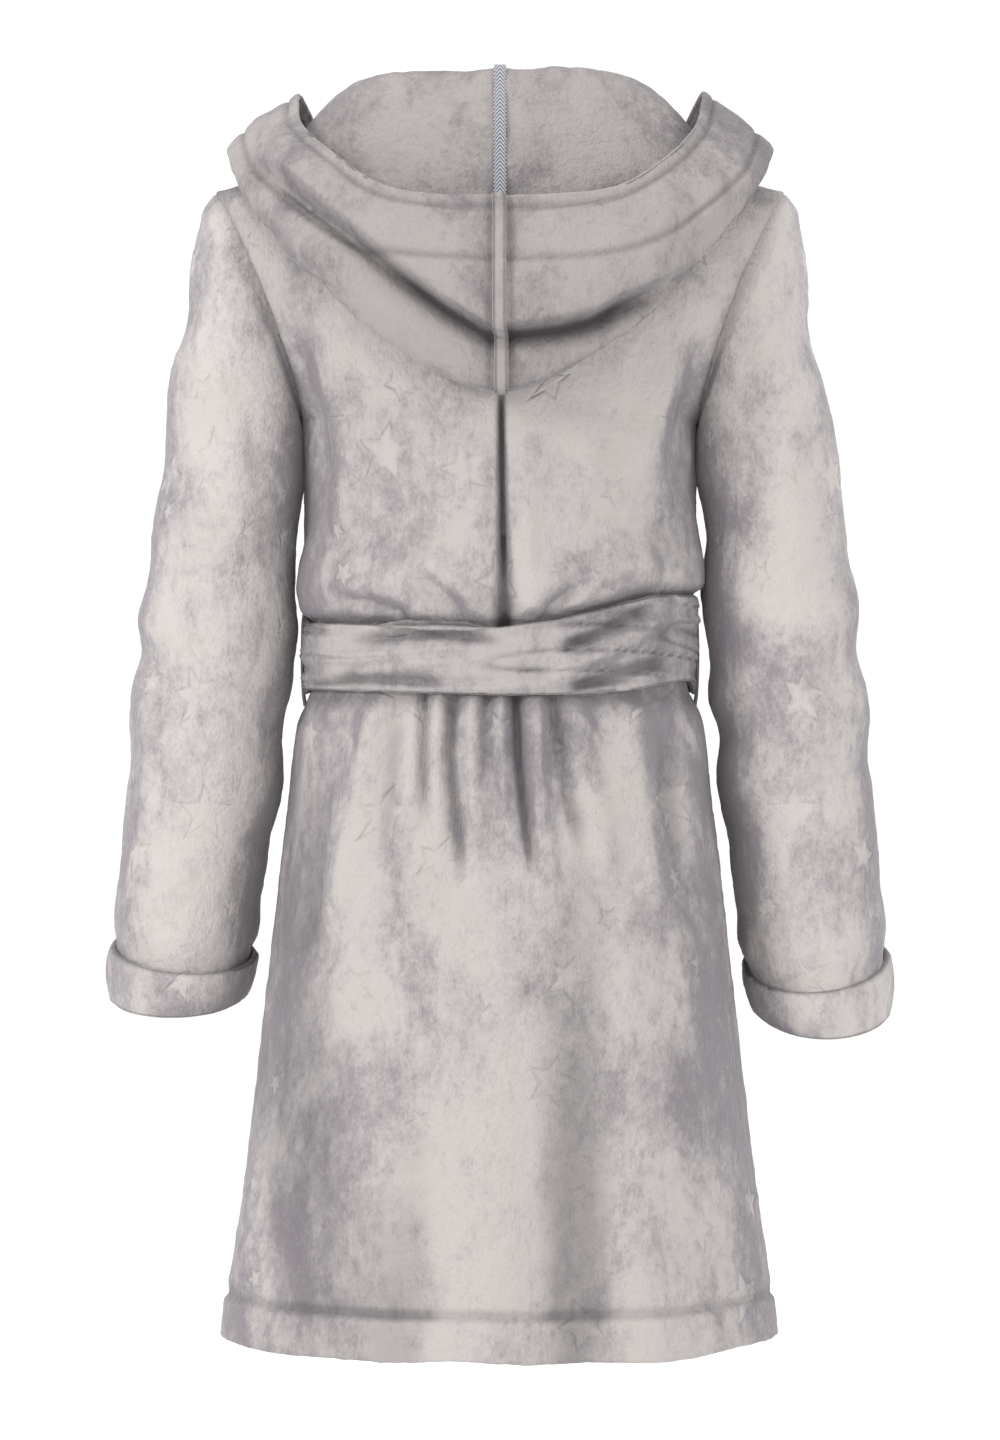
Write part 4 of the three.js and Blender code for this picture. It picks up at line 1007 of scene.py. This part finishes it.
def seam_strip():
    """The raised seam on the hood's outside, topstitched along both edges."""
    rows = hood_rows > 3.95 / 7
    column = hood_left[:, 0][rows]
    n = unit(normals(hood_left, sign=-1)[:, 0][rows] * [0, 1, 1])
    x = np.linspace(-5.4, 5.4, 15)
    shape = 1.6 * np.sqrt(np.clip(1 - (x / 5.6) ** 6, 0, 1)) - 1.1 * groove(np.abs(x) - 3.7, 0.9)
    column = column + n * 1.1
    grid = column[:, None, :] + n[:, None, :] * shape[None, :, None]
    grid = grid + n[:, None, :] * (0.5 * pile(grid, 91))[..., None]
    grid[..., 0] = x[None, :] - 1.0 + 1.5 * smooth(column[:, 2], 742, 748)[:, None]
    # Painted shade in the topstitch grooves.
    return grid, (0.5 * groove(np.abs(x) - 3.7, 0.9))[None, :]


grid, shade_and_nap = seam_strip()
o = build("hood_seam_cloth", grid, 2.0, HOOD, sign=-1, shade_and_nap=shade_and_nap)
place(o, None, (), blend)
o = build("hood_seam_ribbon", seam_tape(), 1.4, TAPE, sign=-1)
place(o, None, ["neck_seam_tape", "hood_seam_tape"],
      blend)

# ---------------------------------------------------------------- belt

def belt_grid():
    turn = (np.arange(300) + 0.5) / 300 * TAU
    v = np.linspace(0, 1, 38)[:, None]
    x0 = 142 * np.cos(turn)
    front = np.sin(turn) < 0
    low = np.where(front, BELT_LOW, np.interp(x0, *BELT_BOTTOM))
    high = np.where(front, BELT_HIGH + 2 * np.sin(turn * 3), np.interp(x0, *BELT_TOP))
    settle = smooth(np.abs(np.sin(turn)), 0.0, 0.25)
    low = mix(BELT_LOW, low, settle)
    high = mix(BELT_HIGH, high, settle)
    z = mix(low[None, :], high[None, :], v)
    lift = np.where(front, wrap_lift(math.pi / 2 - np.arcsin(np.abs(np.sin(turn))), 0.8), 0)[None, :]
    base = 1.2 + 5.0
    half = ring("half", z)
    depth = np.where(front[None, :], ring(-1, z), ring(1, z))
    x = (half + lift + base) * np.cos(turn)[None, :]
    y = (depth + lift + base) * np.sin(turn)[None, :]
    p = np.stack([x, y, z], -1)
    n = normals(p, True, 1)
    arc = np.cumsum(size(np.diff(p[19], axis=0, append=p[19][:1])))
    q = np.stack([arc[None, :] * np.ones_like(z), z * 1.0, z * 0], -1)
    lengthwise = noise(q, (95, 9.5, 9), 41) * 3.4 + noise(q, (48, 6.0, 9), 43) * 1.8
    across = noise(q, (16, 60, 9), 45) * 1.3
    tilted = q + np.stack([0 * z, 6 * np.sin(q[..., 0] / 60), 0 * z], -1)
    thin = np.clip(1 - np.abs(noise(tilted, (150, 10.5, 9), 48)) * 4.2, 0, 1) ** 2
    lengthwise = (lengthwise - 3.4 * thin) * smooth(v, 0, 0.14) * smooth(1 - v, 0, 0.14)
    body_fold = 4.5 * np.sin(math.pi * v) ** 0.5
    pinch = 1 - 0.85 * np.exp(-((y / 14) ** 2))
    d = (lengthwise + across + body_fold) * pinch + 0.5 * pile(p, 47)
    folds_back = [
        ([(-26, 492), (-70, 512), (-130, 545)], 7.5, 7, 0.25),
        ([(-44, 487), (-90, 499), (-134, 514)], -6.0, 4.5, 0.25),
        ([(-36, 514), (-84, 534), (-126, 556)], -6.0, 4.5, 0.25),
        ([(20, 504), (70, 512), (136, 510)], 4.5, 7, 0.25),
        ([(-16, 522), (50, 528), (124, 522)], -5.5, 4, 0.25),
        ([(0, 537), (60, 536), (120, 531)], 4.0, 5, 0.25),
        ([(30, 491), (90, 496), (136, 496)], -5.0, 4, 0.25),
    ]
    behind = smooth(y, 10, 40)
    fold = folds(x, z, folds_back) * behind
    # Painted shade in the belt's deeper creases.
    shade_and_nap = np.clip(-(lengthwise + fold) - 1.0, 0, 6) * 0.13
    d = np.maximum(d + fold * pinch, -3.0)
    return p + n * d[..., None], shade_and_nap, base + d - 0.9


grid, shade_and_nap, thick = belt_grid()
o = build("belt_cloth", grid, thick, BELT, closed=True, shade_and_nap=shade_and_nap)
place(o, "robe", ["belt"])


def ribbon(name, path, width_axis, widths, thick, material, bumps=0.0, seed=0, cols=9, mirror=False):
    """A flat strip that follows a line of points; width_axis is across it."""
    path = np.array(path, float)
    t = np.linspace(0, 1, 60)
    line = catmull(path[:, None, :], t)[:, 0]
    width = np.interp(t, np.linspace(0, 1, len(widths)), widths)
    across = np.linspace(-0.5, 0.5, cols)
    axis = unit(np.array(width_axis, float))
    p = line[:, None, :] + axis * (across[None, :, None] * width[:, None, None])
    n = normals(p, sign=1)
    if bumps:
        d = bumps * noise(p, (14, 14, 60), seed) + 0.5 * bumps * pile(p, seed)
        p = p + n * d[..., None]
    return build(name, p, thick, material, mirror=mirror)


for side, mirror in (("left", False), ("right", True)):
    zs = [475, 479, 483, 490, 502, 515, 528, 540, 546, 550, 555]
    xs = [150.4, 151.0, 151.6, 152.0, 152.4, 152.6, 152.4, 152.0, 151.0, 149.4, 147.8]
    path = [[x - 1.2, 0, z] for x, z in zip(xs, zs)]
    o = ribbon("belt_loop_%s_cloth" % side, path, (0, 1, 0), [10] * 3, 2.6, BELT, 0.2, 5, 6, mirror)
    place(o, "robe", ["belt_loop_" + side])

# ---------------------------------------------------------------- knot and belt ends

knot_low, knot_high = corners("belt_knot")


def knot_body():
    """The knot: a rounded bundle with the belt's turns wound over it."""
    u = np.arange(96) / 96 * TAU
    v = np.linspace(0.0, 1.0, 72)
    centre = (knot_low + knot_high) / 2
    half = (knot_high - knot_low) / 2 - 1.0
    phi = (v[:, None] - 0.5) * math.pi * 0.9995
    power = 0.62
    c = np.sign(np.cos(phi)) * np.abs(np.cos(phi)) ** power
    sz = np.sign(np.sin(phi)) * np.abs(np.sin(phi)) ** power
    cu = np.sign(np.cos(u)) * np.abs(np.cos(u)) ** power
    su = np.sign(np.sin(u)) * np.abs(np.sin(u)) ** power
    x = centre[0] + half[0] * sz * np.ones_like(u)
    y = centre[1] + half[1] * c * su
    z = centre[2] + half[2] * c * cu
    p = np.stack([x, y, z], -1)
    n = normals(p, True, -1)
    s, h = x - centre[0], z - centre[2]
    line = (s + 0.006 * h * h + 2 * noise(p, 22, 50)) * 0.93 + h * 0.37
    valley = np.clip(sum(groove(line - k, 2.6) for k in (-27, -11, 13, 26)), 0, 1) * (c > 0.25)
    roll = np.sin(math.pi * np.clip((line + 11) / 24, 0, 1)) ** 0.8
    d = 2.5 * roll - 4.2 * valley + 1.2 * noise(p, (10, 14, 18), 51) + 0.6 * pile(p, 53) - 2.4
    # Painted shade in the valleys between the belt's turns.
    shade_and_nap = 0.8 * valley
    return p + n * d[..., None], shade_and_nap


grid, shade_and_nap = knot_body()
o = build("belt_knot_cloth", grid, 3.0, BELT, closed=True, sign=-1, shade_and_nap=shade_and_nap)
place(o, "robe", ["belt_knot"])

for side, mirror in (("left", False), ("right", True)):
    low, high = corners("belt_end_left")
    top_y, low_y = -142.2, -164.0
    t = np.linspace(0, 1, 110)
    across = np.linspace(-1, 1, 19)
    width = mix(36, 54, smooth(t, 0, 0.22)) - 2
    z = mix(high[2] + 9, low[2] + 1, t)
    x_mid = 3 + 4 * t + width / 2 + 1
    y = mix(top_y, low_y, t) + 3.5
    p = np.stack([x_mid[:, None] + across * width[:, None] / 2,
                  (y[:, None]) * np.ones_like(across), z[:, None] * np.ones_like(across)], -1)
    gather = (1 - smooth(t, 0.0, 0.3))[:, None]
    seed = 61 if mirror else 67
    d = 2.8 * np.cos(across * 7.5 + seed)[None, :] * gather
    d = d + 2.6 * np.sin(across * 2.2 + 5.5 * t[:, None] + seed) * (1 - gather)
    d = d + 1.8 * noise(p, (26, 60, 90), seed) + 0.8 * pile(p, seed)
    edge = groove(np.abs(across)[None, :] - 0.86, 0.05) + groove((1 - t[:, None]) * 400 - 5, 2.0)
    d = d - 1.2 * edge * (1 - gather)
    p = p + np.array([0, -1, 0]) * d[..., None]
    p = p[::-1]
    # Painted shade along the grooved edges of the hanging end.
    o = build("belt_end_%s_cloth" % side, p, 8.0, BELT,
              shade_and_nap=(0.35 * edge * (1 - gather))[::-1], mirror=mirror)
    place(o, "belt_tail_" + side, ["belt_end_" + side])

# ---------------------------------------------------------------- pockets

POCKET_TOP, POCKET_TALL, POCKET_WIDE = 423.0, 165.0, 130.0
for side, over in (("left", False), ("right", True)):
    v = np.linspace(0, 1, 48)[:, None]
    u = np.linspace(0, 1, 44)[None, :]
    z = POCKET_TOP - POCKET_TALL + POCKET_TALL * v
    half, front = ring("half", z), ring(-1, z)
    angle = np.arcsin((WRAP + 12) / half) + u * (POCKET_WIDE - 8) / ((half + front) / 2)
    level = level_of(z) * np.ones_like(u)
    base = body(-1, angle, level, wrap_lift(angle, level) if over else 0.0)
    n = normals(base, sign=1)
    ease = 13 * smooth(v, 0, 0.45) * np.sin(np.pi * u ** 1.25) ** 0.9
    seed = 71 if over else 77
    mouth = groove((1 - v) * POCKET_TALL - 30, 2.2)
    margin = np.minimum(np.minimum(u, 1 - u) * POCKET_WIDE, v * POCKET_TALL)
    stitch = groove(margin - 5, 1.8)
    d = 1.0 + PLUSH + ease + 0.9 * pile(base, seed) - 1.4 * mouth - 1.2 * stitch
    d = d + 1.6 * noise(base, (40, 40, 34), seed) * smooth(margin, 4, 20)
    top = smooth((1 - v) * POCKET_TALL, 26, 30)
    d = d + 2.0 * (1 - top)
    # Painted shade in the pocket mouth and stitch grooves.
    o = build("pocket_%s_cloth" % side, base + n * d[..., None], PLUSH, MAIN,
              shade_and_nap=0.5 * mouth + 0.4 * stitch, mirror=over)
    place(o, "robe", ["pocket_" + side, "pocket_hem_" + side])

# ---------------------------------------------------------------- inside the back neck


def inside_patch(half, low, high, cols, rows, extra):
    share = (np.array([low, high]) - ARMPIT) / (NECK - NAPE_DROP - ARMPIT)
    lv = np.linspace(*(1 + np.arcsin(share) / (math.pi / 2)), rows)[:, None]
    x = np.linspace(-half, half, cols)[None, :]
    p = body(1, angle_of(1, x, lv), lv * np.ones_like(x))
    return p - normals(p, sign=-1) * (PLUSH + extra)


nape = NECK - NAPE_DROP
o = build("neck_tape_ribbon", inside_patch(60.8, nape - 9, nape - 1.5, 60, 6, 1.6), 1.4, TAPE, sign=-1)
place(o, "robe", ["neck_tape"])
o = build("neck_label_cloth", inside_patch(24, nape - 50, nape - 24, 30, 18, 1.6), 0.8, LABEL, sign=-1)
place(o, "robe", ["neck_label"])

u = np.linspace(0, 1, 60)[None, :]
v = np.linspace(-0.5, 0.5, 7)[:, None]
x = 30.4 * (2 * u - 1) * np.ones_like(v)
line = NECK_BACK * np.cos(np.abs(x) / NECK_HALF * math.pi / 2) + SEAM / 2
grid = np.stack([x, line - 2.2 - 13.6 * np.sin(np.pi * u) ** 0.8, 879.1 + 9 * v * np.ones_like(u)], -1)
o = build("hanging_loop_ribbon", grid, 1.4, TAPE, sign=1)
place(o, "robe", ["hanging_loop"])

low, high = corners("care_label")
lv = np.linspace(level_of(low[2]), level_of(high[2]), 24)[:, None]
angle = np.radians(np.linspace(75, 85, 16))[None, :]
p = body(1, angle, lv * np.ones_like(angle))
n = normals(p, sign=-1)
p = p - n * (PLUSH + 6.0)
p += n * (2.0 * noise(p, (20, 20, 26), 81))[..., None]
o = build("care_label_cloth", p, 0.8, LABEL, sign=-1)
place(o, "robe", ["care_label"])

# ---------------------------------------------------------------- stage, light and camera

white = bpy.data.materials.new("stage_white")
white.use_nodes = True
white.node_tree.nodes["Principled BSDF"].inputs["Base Color"].default_value = (0.97, 0.97, 0.97, 1)
white.node_tree.nodes["Principled BSDF"].inputs["Roughness"].default_value = 0.9
FLOOR_DROP = 0.30
bpy.ops.mesh.primitive_plane_add(size=30, location=(0, 0, -0.8791 - FLOOR_DROP))
floor = bpy.context.object
floor.name = "floor"
floor.data.materials.append(white)


def area(name, location, wide, power):
    data = bpy.data.lights.new(name, "AREA")
    data.shape = "DISK"
    data.size = wide
    data.energy = power
    lamp = bpy.data.objects.new(name, data)
    lamp.location = location
    aim = np.array([0, 0, -0.4]) - np.array(location)
    lamp.rotation_euler = Vector(aim).to_track_quat("-Z", "Y").to_euler()
    bpy.context.scene.collection.objects.link(lamp)


area("key", (2.9, 2.3, 1.3), 1.3, 62)
area("fill", (-2.6, 2.4, 0.2), 2.2, 17)
area("top", (0.2, 0.6, 2.4), 1.4, 20)
area("front_fill", (-1.6, -3.0, 0.9), 2.0, 30)
world = bpy.data.worlds.new("world")
bpy.context.scene.world = world
world.use_nodes = True
world.node_tree.nodes["Background"].inputs["Color"].default_value = (1, 1, 1, 1)
world.node_tree.nodes["Background"].inputs["Strength"].default_value = 1.06

# The whole view is VIEW_HEIGHT tall at the robe. The camera is level with the top of the skirt.
VIEW_HEIGHT, CAMERA_DISTANCE, CAMERA_HEIGHT = 1440 * 0.76, 3200, 465
camera_data = bpy.data.cameras.new("camera")
camera_data.sensor_fit = "VERTICAL"
camera_data.angle = 2 * math.atan(VIEW_HEIGHT / 2 / CAMERA_DISTANCE)
camera_data.clip_end = 60
camera = bpy.data.objects.new("camera", camera_data)
camera.location = row(0, CAMERA_DISTANCE, CAMERA_HEIGHT)
camera.rotation_euler = (math.pi / 2, 0, math.pi)
bpy.context.scene.collection.objects.link(camera)
bpy.context.scene.camera = camera
bpy.context.scene.view_settings.view_transform = "Standard"
